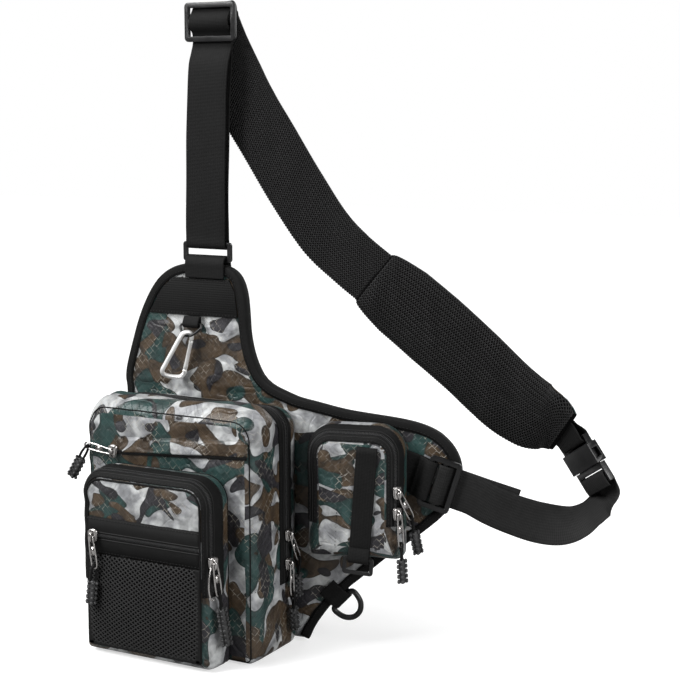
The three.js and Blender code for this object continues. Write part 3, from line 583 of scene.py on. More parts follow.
def web_rows(
    rows: Rows, axes: str, width: float, across: Floats, place: Place, thick: float = WEB_THICK
) -> list[Station]:
    """Stations of webbing bent in one plane.

    Args:
        rows: Pairs of coordinates.
        axes: Names of those two axes, such as yz.
        width: Width of the webbing.
        across: Direction of its width.
        place: Frame that the rows are in.
        thick: Thickness of the webbing.

    Returns:
        Stations in the bag's frame.
    """
    spots = np.zeros((len(rows), 3))
    for column, axis in enumerate(axes):
        spots[:, "xyz".index(axis)] = [row[column] for row in rows]
    way = place.ways(np.array(across, float))
    return [Station(spot, way, width, thick) for spot in place.points(spots)]


# Repeats made by Geometry Nodes


class Repeat:
    """A Geometry Nodes tree with named inputs, and the run that turns it into a plain mesh."""

    def __init__(self, name: str, inputs: Sequence[tuple[str, str, float | int]]) -> None:
        """Makes the tree's sockets.

        Args:
            name: Name of the tree.
            inputs: Name, socket type and default of each size.
        """
        self.tree = bpy.data.node_groups.new(name, "GeometryNodeTree")
        face = self.tree.interface
        face.new_socket("Geometry", in_out="INPUT", socket_type="NodeSocketGeometry")
        for label, kind, value in inputs:
            face.new_socket(label, in_out="INPUT", socket_type=kind).default_value = value
        face.new_socket("Material", in_out="INPUT", socket_type="NodeSocketMaterial")
        face.new_socket("Geometry", in_out="OUTPUT", socket_type="NodeSocketGeometry")
        self.start = self.tree.nodes.new("NodeGroupInput")
        self.end = self.tree.nodes.new("NodeGroupOutput")

    def node(self, kind: str, inputs: dict | None = None, **settings: str) -> Socket:
        """Adds a node.

        Args:
            kind: Type of the node.
            inputs: Values or sockets for its inputs, by name.
            **settings: Its properties, set first.

        Returns:
            The node's first output.
        """
        made = self.tree.nodes.new(kind)
        for label, value in settings.items():
            setattr(made, label, value)
        for label, value in (inputs or {}).items():
            if isinstance(value, Socket):
                self.tree.links.new(value, made.inputs[label])
            else:
                made.inputs[label].default_value = value
        return made.outputs[0]

    def close(self, shape: Socket) -> None:
        """Realizes, smooths and colours the shape as the tree's result."""
        real = self.node("GeometryNodeRealizeInstances", {"Geometry": shape})
        soft = self.node("GeometryNodeSetShadeSmooth", {"Geometry": real})
        inputs = {"Geometry": soft, "Material": self.start.outputs["Material"]}
        self.tree.links.new(self.node("GeometryNodeSetMaterial", inputs), self.end.inputs["Geometry"])

    def run(self, name: str, lines: Sequence[Line], finish: Material, **sizes: float) -> Piece:
        """Runs the tree on lines and keeps the plain mesh.

        Args:
            name: Name of the piece.
            lines: Points of each line in the bag's frame, with the direction out of the surface.
            finish: Material of the result.
            **sizes: Values of the named inputs, in millimetres or as whole numbers.

        Returns:
            A new object with the result as its mesh.
        """
        data = bpy.data.meshes.new(name)
        spots = np.vstack([points for points, _ in lines])
        ways = np.vstack([np.broadcast_to(out, points.shape) for points, out in lines])
        starts = np.cumsum([0] + [len(points) for points, _ in lines])
        edges = [(i, i + 1) for a, b in zip(starts, starts[1:]) for i in range(a, b - 1)]
        data.from_pydata(to_row(spots).tolist(), edges, [])
        attribute = data.attributes.new(OUT, "FLOAT_VECTOR", "POINT")
        attribute.data.foreach_set("vector", unit(ways).astype(np.float32).ravel())
        piece = put(name, data)
        modifier = piece.modifiers.new(name, "NODES")
        modifier.node_group = self.tree
        for item in self.tree.interface.items_tree:
            if item.in_out != "INPUT" or item.name == "Geometry":
                continue
            if item.name == "Material":
                modifier[item.identifier] = finish
            elif item.name in sizes:
                whole = item.socket_type == "NodeSocketInt"
                modifier[item.identifier] = int(sizes[item.name]) if whole else sizes[item.name] * METRE
        return settle(piece)


def bead_tree() -> Repeat:
    """Tree that lays small rounded beads along lines, for stitches and zip coils."""
    sizes = [(label, "NodeSocketFloat", 0.001) for label in ("Pitch", "Along", "Across", "Height")]
    repeat = Repeat("beads_on_lines", sizes)
    size = repeat.start.outputs
    line = repeat.node("GeometryNodeMeshToCurve", {"Mesh": size["Geometry"]})
    even = repeat.node("GeometryNodeResampleCurve", {"Curve": line, "Length": size["Pitch"]}, mode="LENGTH")
    bead = repeat.node("GeometryNodeMeshUVSphere", {"Segments": 6, "Rings": 4, "Radius": 0.5})
    out = repeat.node("GeometryNodeInputNamedAttribute", {"Name": OUT}, data_type="FLOAT_VECTOR")
    way = repeat.node("GeometryNodeInputTangent")
    align = "FunctionNodeAlignRotationToVector"
    stand = repeat.node(align, {"Vector": out}, axis="Z")
    turn = repeat.node(align, {"Rotation": stand, "Vector": way}, axis="X", pivot_axis="Z")
    spread = {"X": size["Along"], "Y": size["Across"], "Z": size["Height"]}
    scale = repeat.node("ShaderNodeCombineXYZ", spread)
    inputs = {"Points": even, "Instance": bead, "Rotation": turn, "Scale": scale}
    repeat.close(repeat.node("GeometryNodeInstanceOnPoints", inputs))
    return repeat


def strand_tree() -> Repeat:
    """Tree that turns lines into round strands, for net and spacer mesh."""
    sizes = [("Radius", "NodeSocketFloat", 0.0004), ("Sides", "NodeSocketInt", 5)]
    repeat = Repeat("strands_on_lines", sizes)
    size = repeat.start.outputs
    line = repeat.node("GeometryNodeMeshToCurve", {"Mesh": size["Geometry"]})
    circle = {"Resolution": size["Sides"], "Radius": size["Radius"]}
    ring = repeat.node("GeometryNodeCurvePrimitiveCircle", circle)
    inputs = {"Curve": line, "Profile Curve": ring, "Fill Caps": True}
    repeat.close(repeat.node("GeometryNodeCurveToMesh", inputs))
    return repeat


@dataclass
class Sewing:
    """Stitch and coil lines gathered while the pieces are made."""

    stitches: list[Line] = field(default_factory=list)
    coils: list[Line] = field(default_factory=list)
    ridges: list[Line] = field(default_factory=list)
    lift: float = 0.1

    def stitch(self, points: Array, out: Array) -> None:
        """Adds a line of stitches lying on a surface."""
        self.stitches.append((points + out * self.lift, out))

    def coil(self, points: Array, out: Array) -> None:
        """Adds a line of zip coil."""
        self.coils.append((points, out))

    def ridge(self, points: Array, out: Array) -> None:
        """Adds a raised line of tape."""
        self.ridges.append((points, out))


# Materials


class Wire:
    """A socket in a material, with maths as Python operators."""

    def __init__(self, paint: "Paint", socket: Socket) -> None:
        """Wraps an output socket of a material."""
        self.paint = paint
        self.socket = socket

    def maths(self, operation: str, *others: "Wire | float") -> "Wire":
        """Result of a Math node with this value first."""
        inputs = dict(enumerate((self, *others)))
        return self.paint.node("ShaderNodeMath", {"operation": operation}, inputs)

    def __add__(self, other: "Wire | float") -> "Wire":
        """Sum."""
        return self.maths("ADD", other)

    __radd__ = __add__

    def __sub__(self, other: "Wire | float") -> "Wire":
        """Difference."""
        return self.maths("SUBTRACT", other)

    def __rsub__(self, other: float) -> "Wire":
        """Number minus this value."""
        return (self * -1.0) + other

    def __mul__(self, other: "Wire | float") -> "Wire":
        """Product."""
        return self.maths("MULTIPLY", other)

    __rmul__ = __mul__

    def step(self, low: float, high: float) -> "Wire":
        """Smooth step from 0 at low to 1 at high."""
        inputs = {"Value": self, "From Min": low, "From Max": high}
        return self.paint.node("ShaderNodeMapRange", {"interpolation_type": "SMOOTHSTEP"}, inputs)

    def ridge(self, pitch: float, width: float) -> "Wire":
        """Thin lines at an even pitch, rising to 1 in the middle of each."""
        share = (self * (1 / pitch)).maths("FRACT") - 0.5
        return share.maths("ABSOLUTE").step(0.5 - width / pitch, 0.5)

    def wave(self, pitch: float) -> "Wire":
        """Sine wave from 0 to 1."""
        return (self * (2 * math.pi / pitch)).maths("SINE") * 0.5 + 0.5


class Paint:
    """A node material under construction."""

    def __init__(self, name: str) -> None:
        """Starts a material of this name with a plain principled shader."""
        self.material = bpy.data.materials.new(name)
        self.material.use_nodes = True
        self.tree = self.material.node_tree
        self.shader = self.tree.nodes["Principled BSDF"]

    def node(
        self, kind: str, settings: dict | None = None, inputs: dict | None = None, output: int | str = 0
    ) -> Wire:
        """Adds a node.

        Args:
            kind: Type of the node.
            settings: Its properties, set first.
            inputs: Values or wires for its inputs, by name or index.
            output: Name or index of the output that is wanted.

        Returns:
            The wanted output.
        """
        made = self.tree.nodes.new(kind)
        for label, value in (settings or {}).items():
            setattr(made, label, value)
        for label, value in (inputs or {}).items():
            self.feed(made.inputs[label], value)
        return Wire(self, made.outputs[output])

    def feed(self, socket: Socket, value: "Wire | float | Floats") -> None:
        """Links a wire to a socket or sets the socket's value."""
        if isinstance(value, Wire):
            self.tree.links.new(value.socket, socket)
        else:
            socket.default_value = value

    def set(self, **values: "Wire | float | Floats") -> None:
        """Feeds the shader's sockets, with underscores for spaces in their names."""
        for label, value in values.items():
            self.feed(self.shader.inputs[label.replace("_", " ")], value)

    def cloth(self) -> tuple[Wire, Wire, Wire]:
        """Cloth map as a vector and its two parts, in metres."""
        vector = self.node("ShaderNodeUVMap", {"uv_map": CLOTH_MAP})
        parts = self.node("ShaderNodeSeparateXYZ", None, {"Vector": vector})
        return vector, parts, Wire(self, parts.socket.node.outputs["Y"])

    def spot(self) -> Wire:
        """Object coordinates in metres."""
        return self.node("ShaderNodeTexCoord", None, None, "Object")

    def noise(
        self, vector: Wire, size: float, detail: float = 2.0, warp: float = 0.0, output: int | str = 0
    ) -> Wire:
        """Noise with patches of a size in metres, as a value or a colour."""
        inputs = {"Vector": vector, "Scale": 1 / size, "Detail": detail, "Distortion": warp}
        return self.node("ShaderNodeTexNoise", None, inputs, output)

    def veins(self, vector: Wire, size: float, detail: float, warp: float, width: float) -> Wire:
        """Thin valleys where noise crosses its middle."""
        return (self.noise(vector, size, detail, warp) - 0.5).maths("ABSOLUTE").step(0.0, width)

    def shifted(self, vector: Wire, by: "Wire | Floats") -> Wire:
        """A vector moved by another."""
        return self.node("ShaderNodeVectorMath", {"operation": "ADD"}, {0: vector, 1: by})

    def scaled(self, vector: Wire, by: Floats) -> Wire:
        """A vector stretched along each axis."""
        return self.node("ShaderNodeVectorMath", {"operation": "MULTIPLY"}, {0: vector, 1: by})

    def sized(self, vector: Wire, by: float) -> Wire:
        """A vector or a colour times a number."""
        return self.node("ShaderNodeVectorMath", {"operation": "SCALE"}, {0: vector, "Scale": by})

    def mix(self, share: "Wire | float", first: "Wire | tuple", second: "Wire | tuple") -> Wire:
        """Colour between two colours."""
        made = self.node("ShaderNodeMix", {"data_type": "RGBA"}, {"Factor": share}).socket.node
        for label, value in (("A", first), ("B", second)):
            self.feed(next(s for s in made.inputs if s.name == label and s.type == "RGBA"), value)
        return Wire(self, next(s for s in made.outputs if s.type == "RGBA"))

    def bump(self, height: Wire, distance: float, strength: float) -> Wire:
        """Normal for a height from 0 to 1 over a distance in metres."""
        inputs = {"Height": height, "Distance": distance, "Strength": strength}
        return self.node("ShaderNodeBump", None, inputs, "Normal")


def grey(level: float) -> Colour:
    """Neutral colour."""
    return (level, level, level, 1)


@dataclass(frozen=True)
class Finish:
    """A finish, made into a material of its own name."""

    name: str

    def dress(self, paint: Paint) -> None:
        """Feeds the material's shader."""
        raise NotImplementedError

    def make(self) -> Material:
        """Builds the material."""
        paint = Paint(self.name)
        self.dress(paint)
        return paint.material


@dataclass(frozen=True)
class CamouflageCloth(Finish):
    """Coated cloth with a generic woodland print, a raised brick weave with painted glints on its lines, and
    painted shade in small patches.
    """

    pale: Colour = (0.42, 0.43, 0.43, 1)
    ash: Colour = (0.22, 0.225, 0.235, 1)
    charcoal: Colour = (0.0160, 0.0150, 0.0185, 1)
    brown: Colour = (0.053, 0.034, 0.0180, 1)
    teal: Colour = (0.0122, 0.0385, 0.0355, 1)
    # Colour of the painted highlights on the weave's lines.
    painted_glint: Colour = (0.42, 0.39, 0.33, 1)
    patch: float = 0.0295
    rim: float = 0.42
    weave: float = 0.0088
    yarn: float = 0.0006

    def dress(self, paint: Paint) -> None:
        """Prints and weaves the cloth, and paints shade and glints into its colour."""
        cloth, u, v = paint.cloth()
        wander = paint.shifted(paint.noise(cloth, 0.034, 0.0, 0.0, "Color"), (-0.5, -0.5, -0.5))
        bent = paint.scaled(paint.shifted(cloth, paint.sized(wander, 0.022)), (0.92, 1.14, 1.0))
        layers = (
            ((0.12, 0.71, 0.4), 1.1, 0.56, self.brown),
            ((0.57, 0.93, 0.7), 1.05, 0.55, self.teal),
            ((0.83, 0.44, 0.2), 0.85, 0.64, self.charcoal),
            ((0.37, 0.58, 0.3), 0.75, 0.65, self.brown),
        )
        colour = paint.mix(paint.noise(cloth, 0.022, 2.0, 0.5).step(0.40, 0.62), self.ash, self.pale)
        for offset, size, level, tone in layers:
            field_value = paint.noise(paint.shifted(bent, offset), self.patch * size, 0.0, 0.2)
            rim = (*(self.rim * part for part in tone[:3]), 1.0)
            inner = paint.mix(field_value.step(level, level + 0.05), rim, tone)
            colour = paint.mix(field_value.step(level - 0.004, level + 0.004), colour, inner)
        # Painted shade, partly the print's mottling: in small noise patches the colour is darkened to 0.55,
        # standing in for the shading of the cloth's crumples.
        shade = paint.noise(cloth, 0.012, 4.0, 0.4)
        colour = paint.mix(shade.step(0.34, 0.62), paint.sized(colour, 0.55), colour)
        climb = u + v
        level_row = (climb * (1 / self.weave)).maths("FLOOR") * (0.5 * self.weave)
        second = (u - v + level_row).ridge(self.weave, self.yarn)
        lines = climb.ridge(self.weave, self.yarn).maths("MAXIMUM", second)
        # Painted highlight: in noise patches the weave's lines are mixed towards a pale colour, standing in
        # for light glinting off the raised weave.
        seen = paint.noise(cloth, 0.026, 1.0).step(0.48, 0.62)
        broken = paint.noise(cloth, 0.0032, 1.0).step(0.36, 0.56)
        colour = paint.mix(lines * seen * broken * 0.55, colour, self.painted_glint)
        gloss = paint.noise(cloth, 0.02, 2.0)
        fine = u.wave(0.0009) * v.wave(0.0009)
        crumple = paint.noise(cloth, 0.014, 4.0, 0.8)
        creases = paint.veins(cloth, 0.034, 1.5, 0.6, 0.05)
        crimps = paint.veins(paint.shifted(cloth, (0.4, 0.2, 0.0)), 0.017, 1.0, 0.4, 0.07)
        relief = lines * 0.25 + fine * 0.1 + crumple * 1.1 + creases * 0.5 + crimps * 0.2
        paint.set(
            Base_Color=colour,
            Roughness=gloss * 0.22 + 0.28 - lines * 0.06,
            Normal=paint.bump(relief, 0.0014, 0.65),
            Specular_IOR_Level=0.4,
            Sheen_Weight=0.03,
        )


@dataclass(frozen=True)
class WovenBlack(Finish):
    """Black woven tape: webbing, binding, patches and zip tapes."""

    tone: Colour = grey(0.0030)
    light: Colour = grey(0.0078)
    rib: float = 0.0013
    column: float = 0.0026
    depth: float = 0.00035
    roughness: float = 0.68

    def dress(self, paint: Paint) -> None:
        """Weaves ribs and columns."""
        cloth, u, v = paint.cloth()
        ribs = v.wave(self.rib)
        columns = u.wave(self.column)
        weave = ribs * 0.6 + columns * 0.4
        fuzz = paint.noise(cloth, 0.004, 3.0)
        broad = paint.noise(cloth, 0.03, 2.0)
        share = weave * 0.35 + fuzz * 0.35 + broad * 0.3
        paint.set(
            Base_Color=paint.mix(share.step(0.25, 0.85), self.tone, self.light),
            Roughness=fuzz * 0.2 + (self.roughness - 0.1),
            Normal=paint.bump(weave * 0.7 + fuzz * 0.5, self.depth, 0.7),
            Specular_IOR_Level=0.11,
        )


@dataclass(frozen=True)
class SpacerMesh(Finish):
    """Black spacer mesh seen between its strands, or by itself where it is far from view."""

    tone: Colour = grey(0.0006)
    light: Colour = (0.0024, 0.0024, 0.0025, 1)
    hole: float = 0.0031

    def dress(self, paint: Paint) -> None:
        """Knits the mesh."""
        cloth, u, v = paint.cloth()
        lattice = (u + v).wave(self.hole * 1.41) * (u - v).wave(self.hole * 1.41)
        fuzz = paint.noise(cloth, 0.003, 2.0)
        knit = lattice.step(0.15, 0.5)
        paint.set(
            Base_Color=paint.mix(knit * 0.6 + fuzz * 0.25, self.tone, self.light),
            Roughness=fuzz * 0.2 + 0.65,
            Normal=paint.bump(knit, 0.0006, 0.8),
            Specular_IOR_Level=0.04,
        )


@dataclass(frozen=True)
class Strand(Finish):
    """Black yarn of nets, stitches and coils."""

    tone: Colour = (0.0032, 0.0032, 0.0033, 1)
    light: Colour = (0.0085, 0.0085, 0.0088, 1)
    roughness: float = 0.55

    def dress(self, paint: Paint) -> None:
        """Spins the yarn."""
        spot = paint.spot()
        broad = paint.noise(spot, 0.02, 3.0)
        fine = paint.noise(spot, 0.0009, 2.0)
        paint.set(
            Base_Color=paint.mix(broad * 0.5 + fine * 0.5, self.tone, self.light),
            Roughness=fine * 0.25 + (self.roughness - 0.12),
            Normal=paint.bump(fine, 0.0002, 0.5),
            Specular_IOR_Level=0.2,
        )


@dataclass(frozen=True)
class MouldedPlastic(Finish):
    """Black moulded plastic or rubber with a fine grain."""

    tone: Colour = (0.0040, 0.0040, 0.0042, 1)
    light: Colour = (0.011, 0.011, 0.0115, 1)
    roughness: float = 0.30
    grain: float = 0.0007

    def dress(self, paint: Paint) -> None:
        """Grains the surface."""
        spot = paint.spot()
        grain = paint.noise(spot, self.grain, 2.0)
        rub = paint.noise(spot, 0.009, 4.0)
        paint.set(
            Base_Color=paint.mix(rub.step(0.4, 0.8) * 0.6 + grain * 0.25, self.tone, self.light),
            Roughness=rub * 0.25 + (self.roughness - 0.1),
            Normal=paint.bump(grain, 0.00012, 0.5),
            Specular_IOR_Level=0.32,
        )


@dataclass(frozen=True)
class PlatedMetal(Finish):
    """Bright plated metal with fine scratches."""

    tone: Colour = (0.40, 0.385, 0.375, 1)
    worn: Colour = (0.11, 0.105, 0.10, 1)
    roughness: float = 0.22
    metallic: float = 1.0

    def dress(self, paint: Paint) -> None:
        """Smears and scratches the plating."""
        spot = paint.spot()
        smear = paint.noise(spot, 0.006, 4.0)
        scratch = paint.noise(paint.scaled(spot, (900, 900, 120)), 1.0, 2.0)
        paint.set(
            Base_Color=paint.mix(smear.step(0.5, 0.8) * 0.6, self.tone, self.worn),
            Roughness=smear * 0.2 + scratch * 0.12 + (self.roughness - 0.12),
            Normal=paint.bump(scratch, 0.00006, 0.4),
            Metallic=self.metallic,
        )


class Looks:
    """All finishes of the bag, each made once."""

    def __init__(self) -> None:
        """Makes the materials."""
        self.camouflage = CamouflageCloth("camouflage_cloth").make()
        self.webbing = WovenBlack("black_webbing").make()
        # Painted light: a lighter copy of the black webbing for the waist strap, standing in for the light
        # that falls on it.
        self.waist = WovenBlack("waist_webbing_painted_light", tone=grey(0.006), light=grey(0.016)).make()
        self.binding = WovenBlack("black_binding", rib=0.0011, column=0.0018).make()
        self.patch = WovenBlack("black_patch", rib=0.0022, column=0.0022, depth=0.0005).make()
        self.zip_tape = WovenBlack("zip_tape", rib=0.0009, column=0.0009, depth=0.0002).make()
        self.spacer = SpacerMesh("spacer_mesh").make()
        self.backing = SpacerMesh("back_mesh", tone=grey(0.004), light=grey(0.030)).make()
        self.strand = Strand("mesh_strand", tone=grey(0.006), light=grey(0.015)).make()
        self.cord = Strand("net_strand", tone=grey(0.006), light=grey(0.021)).make()
        self.thread = Strand("black_thread", tone=grey(0.003), light=grey(0.008)).make()
        bright = (0.048, 0.048, 0.049, 1)
        self.coil = Strand("zip_coil", tone=grey(0.012), light=bright, roughness=0.36).make()
        self.plastic = MouldedPlastic("black_plastic").make()
        self.rubber = MouldedPlastic(
            "grip_rubber", tone=(0.018, 0.018, 0.0185, 1), light=(0.055, 0.055, 0.056, 1), roughness=0.45
        ).make()
        self.steel = PlatedMetal("plated_metal").make()
        pale, dull = (0.90, 0.90, 0.89, 1), (0.66, 0.66, 0.65, 1)
        self.aluminium = PlatedMetal("pale_aluminium", pale, dull, roughness=0.36, metallic=0.62).make()
        self.lining = WovenBlack("black_lining", tone=grey(0.001), light=grey(0.002)).make()


# Pockets


@dataclass(frozen=True)
class Box:
    """Outline of a sewn pocket, seen from the front."""

    left: float
    right: float
    bottom: float
    top: float
    low_radius: float
    top_radius: float
    back: float


MAIN_BOX = Box(-92, 92, 0, 231, 9, 22, -SEAT)
FRONT_BOX = Box(-74, 68, 1, 178, 7, 24, -82.7)
FRONT_FACE = -118.7
SIDE_BOX = Box(11, 103, 92, 219, 8, 26, -1.7)
SIDE_STRAP_FOOT = (65, -32.85, 104)
SIDE_STRAP_LEAN = 4
SIDE_SEAM = 24


@dataclass
class Pocket:
    """A hollow cloth box with a zip over its top: shell, zip band and seams."""

    name: str
    box: Box
    wall: Rows
    band: tuple[float, float]
    coil_row: int
    foot: float
    place: Place
    seed: int
    step: float = 3.2
    wall_step: float = 2.4
    face_step: float = 3.6
    tape_step: float = 0.9
    tape: float = 0.85
    coil_lift: float = 1.0

    GUSSET_SHIFT = 37.0
    FACE_SHIFT = 53.0
    CORNER_POINTS = 11
    ARCH_POINTS = 13
    SEAM_ROWS = (2, -3)
    RIDGE_ROWS = (-4, 4)
    FREE_DEPTH = (1, 9)

    def __post_init__(self) -> None:
        """Works out the wall's rounded line and the displaced rows."""
        self.ripple = Ripple(self.seed)
        self.profile = evenly(round_off(self.wall), self.wall_step)
        rows = np.stack([self.ring(depth, inset) for depth, inset in self.profile])
        ways = self.loop_ways(rows)
        self.wall_points = rows + ways * self.lift(rows)[..., None]
        self.wall_ways = ways

    def lift(self, local: Array) -> Array:
        """How far the cloth stands out from its drawn shape."""
        return np.zeros(local.shape[:-1])

    def parts(self, local: Array) -> tuple[Array, Array, Array]:
        """Across, depth and height of points."""
        return local[..., 0], self.box.back - local[..., 1], local[..., 2]

    def loop(self, inset: float) -> Array:
        """Closed outline drawn in by inset, from the lower right corner round by the top."""
        box = self.box
        corners = (
            (box.right, box.bottom, box.low_radius, 1, 1, -90),
            (box.right, box.top, box.top_radius, 1, -1, 0),
            (box.left, box.top, box.top_radius, -1, -1, 90),
            (box.left, box.bottom, box.low_radius, -1, 1, 180),
        )
        arcs = []
        for x, z, radius, side, rise, start in corners:
            bow = max(radius - inset, 1.0)
            turn = np.radians(np.linspace(start, start + 90, self.CORNER_POINTS))
            spot = (x - side * (inset + bow), z + rise * (inset + bow))
            arcs.append(np.stack([spot[0] + bow * np.cos(turn), spot[1] + bow * np.sin(turn)], -1))
        height = box.top - box.bottom - box.low_radius - box.top_radius
        width = box.right - box.left
        runs = (height, width - 2 * box.top_radius, height, width - 2 * box.low_radius)
        line = []
        for arc, after, run in zip(arcs, arcs[1:] + arcs[:1], runs):
            share = np.linspace(0, 1, math.ceil(run / self.step) + 1)[1:-1, None]
            line += [arc, arc[-1] * (1 - share) + after[0] * share]
        line.append(arcs[0][:1])
        return np.vstack(line)

    def ring(self, depth: float, inset: float) -> Array:
        """Outline at a depth, as points."""
        line = self.loop(inset)
        return np.stack([line[:, 0], np.full(len(line), self.box.back - depth), line[:, 1]], -1)

    @staticmethod
    def loop_ways(rows: Array) -> Array:
        """Outward normals of rows of closed outlines."""
        inner = rows[:, :-1]
        along = np.roll(inner, -1, axis=1) - np.roll(inner, 1, axis=1)
        down = np.gradient(inner, axis=0)
        ways = unit(np.cross(along, down))
        return np.concatenate([ways, ways[:, :1]], axis=1)

    def shell(self) -> Piece:
        """Builds the hollow shell, with cloth maps for its gusset and its face.

        Returns:
            The shell with its wall thickness.
        """
        run = lengths(self.ring(0, 0))
        drop = lengths(self.profile)
        shape = self.wall_points.shape[:2]
        gusset = np.stack([np.broadcast_to(run, shape), np.broadcast_to(drop[:, None], shape)], -1)
        skin = Skin().grid(self.wall_points, gusset + self.seed * self.GUSSET_SHIFT)
        box = self.box
        half = min(box.right - box.left, box.top - box.bottom) / 2
        depth, inset = self.profile[-1]
        insets = np.linspace(inset, half, math.ceil((half - inset) / self.face_step) + 1)
        face = np.stack([self.ring(depth, value) for value in insets])
        print_map = face[..., [0, 2]] + self.seed * self.FACE_SHIFT
        face = face + FORWARD * self.lift(face)[..., None]
        face[0] = self.wall_points[-1]
        skin.grid(face, print_map)
        return thicken(skin.mesh(f"{self.name}_cloth", self.place), CLOTH_WALL)

    def arch(self) -> tuple[Array, Array, Array]:
        """Inverted U of the zip: across, height and the turn of its outward direction."""
        box = self.box
        turn = np.radians(np.linspace(0, 90, self.ARCH_POINTS))
        first, second = box.top_radius * (1 - np.cos(turn)), box.top_radius * (1 - np.sin(turn))
        right = np.stack([box.right - first, box.top - second], -1)
        left = np.stack([box.left + second, box.top - first], -1)
        rise = np.linspace(0, 1, math.ceil((right[0, 1] - self.foot) / self.step) + 1)[:-1]
        width = right[-1, 0] - left[0, 0]
        level = np.linspace(0, 1, math.ceil(width / self.step) + 1)[1:-1]
        up = np.stack([np.full_like(rise, box.right), self.foot + rise * (right[0, 1] - self.foot)], -1)
        over = np.stack([right[-1, 0] - level * width, np.full_like(level, box.top)], -1)
        down = np.stack([np.full_like(rise, box.left), up[::-1, 1]], -1)
        line = np.vstack([up, right, over, left, down])
        quarter = math.pi / 2
        turns = [0 * rise, turn, 0 * level + quarter, turn + quarter, 0 * rise + 2 * quarter]
        return line[:, 0], line[:, 1], np.concatenate(turns)

    def along_zip(self, spot: Array, way: Array, offset: float) -> Line:
        """Line that follows the zip's arch.

        Args:
            spot: Depth and inset on the wall.
            way: Outward direction there, as depth and inset.
            offset: Distance from the cloth.

        Returns:
            Points and outward directions in the pocket's frame.
        """
        x, z, turn = self.arch()
        cos, sin = np.cos(turn), np.sin(turn)
        level = np.full_like(x, self.box.back - spot[0])
        base = np.stack([x - spot[1] * cos, level, z - spot[1] * sin], -1)
        out = np.stack([-way[1] * cos, np.full_like(x, -way[0]), -way[1] * sin], -1)
        return base + out * (offset + self.lift(base))[:, None], out

    def zip_line(self) -> Line:
        """Wall line under the tape and its outward directions, as depth and inset."""
        line = evenly(round_off(self.wall), self.tape_step)
        line = line[(line[:, 0] >= self.band[0]) & (line[:, 0] <= self.band[1])]
        way = tangents(line)
        return line, np.stack([way[:, 1], -way[:, 0]], -1)

    def zip_band(self, sewing: Sewing) -> Piece:
        """Builds the zip tape and lays its coil and seams.

        Args:
            sewing: Takes the coil and the stitches.

        Returns:
            The tape.
        """
        line, ways = self.zip_line()
        top = SEAT + self.tape
        section = [(spot, way, SEAT) for spot, way in zip(line, ways)]
        section += [(spot, way, top) for spot, way in zip(line[::-1], ways[::-1])]
        section.append(section[0])
        rings = np.stack([self.along_zip(*row)[0] for row in section], axis=1)
        middle = np.mean(self.wall[self.coil_row : self.coil_row + 2], axis=0)
        near = int(np.argmin(np.linalg.norm(line - middle, axis=1)))
        rows = [(near, SEAT + self.coil_lift, sewing.coil)]
        rows += [(row, top, sewing.stitch) for row in self.SEAM_ROWS]
        rows += [(near + row, top, sewing.ridge) for row in self.RIDGE_ROWS]
        for row, offset, lay in rows:
            points, out = self.along_zip(line[row], ways[row], offset)
            lay(self.place.points(points), self.place.ways(out))
        return Skin().rod(rings).mesh(f"{self.name}_zip_tape", self.place)

    def on_face(self, line: Array, offset: float) -> Array:
        """Points over the pocket's face.

        Args:
            line: Across and height of each point.
            offset: Distance from the cloth.

        Returns:
            Points in the pocket's frame.
        """
        level = np.full(line.shape[:-1], self.box.back - self.profile[-1, 0])
        base = np.stack([line[..., 0], level, line[..., 1]], -1)
        return base + FORWARD * (offset + self.lift(base))[..., None]


class MainPocket(Pocket):
    """Main compartment, puffed at its top and creased."""

    HEM = 70.0
    HEM_DEPTHS = (41, 79)
    HEM_WIDTHS = (2.2, 9)
    FREE_DEPTH = (1, 13)
    FREE_UP = (2, 24)
    CROWN = (196, 226)
    ZIP_BAND = (8, 14, 36, 42)
    FACE_DEPTH = 76
    FACE_REACH = (1, 11)
    PUFF = (36, 52, 66, 86)
    SIDE_PUFF = (38, 54, 68, 82)
    BESIDE = (84, 90)
    BESIDE_DEPTH = (40, 44)

    def lift(self, local: Array) -> Array:
        """Folds across the top, soft dents on the sides, flat where the front pocket is sewn on."""
        x, depth, z = self.parts(local)
        free = ramp(depth, *self.FREE_DEPTH) * ramp(z, *self.FREE_UP)
        top = ramp(z, *self.CROWN)
        band = plateau(depth, self.ZIP_BAND)
        reach = np.maximum(np.maximum(FRONT_BOX.left - x, x - FRONT_BOX.right), z - FRONT_BOX.top)
        bare = np.where(depth > self.FACE_DEPTH, ramp(reach, *self.FACE_REACH), 1.0)
        folds = self.ripple(local, (70, 40, 8)) * 3.0 * top + self.ripple(local, (38, 30, 34)) * 2.0
        sags = self.ripple(local + 31.0, (34, 26, 12)) * 2.6 * top
        creases = self.ripple(local, (26, 16, 13)) * 1.3 + self.ripple(local, (11, 10, 9)) * 0.5 + sags
        puff = 9.0 * top * plateau(depth, self.PUFF)
        side = 2.4 * plateau(depth, self.SIDE_PUFF) * (1 - top)
        beside = ramp(np.abs(x), *self.BESIDE) * ramp(depth, *self.BESIDE_DEPTH)
        sewn, pucker = (np.exp(-(((z - self.HEM) / wide) ** 2)) * beside for wide in self.HEM_WIDTHS)
        gather = pucker * self.ripple(local, (60, 7, 40)) * 0.9 - 1.3 * sewn
        return free * bare * ((folds + creases) * (1 - 0.75 * band) + puff + side + gather)

    def hem(self, sewing: Sewing) -> None:
        """Lays the level seam across each side of the gusset."""
        low, high = self.HEM_DEPTHS
        rows = [row for row, (depth, _) in enumerate(self.profile) if low < depth < high]
        for side in (1, -1):
            spots, outs = [], []
            for row in rows:
                points = self.wall_points[row]
                far = np.where(side * points[:, 0] > 0, np.abs(points[:, 2] - self.HEM), 1e6)
                spots.append(points[int(np.argmin(far))])
                outs.append(self.wall_ways[row][int(np.argmin(far))])
            sewing.stitch(np.array(spots), np.array(outs))


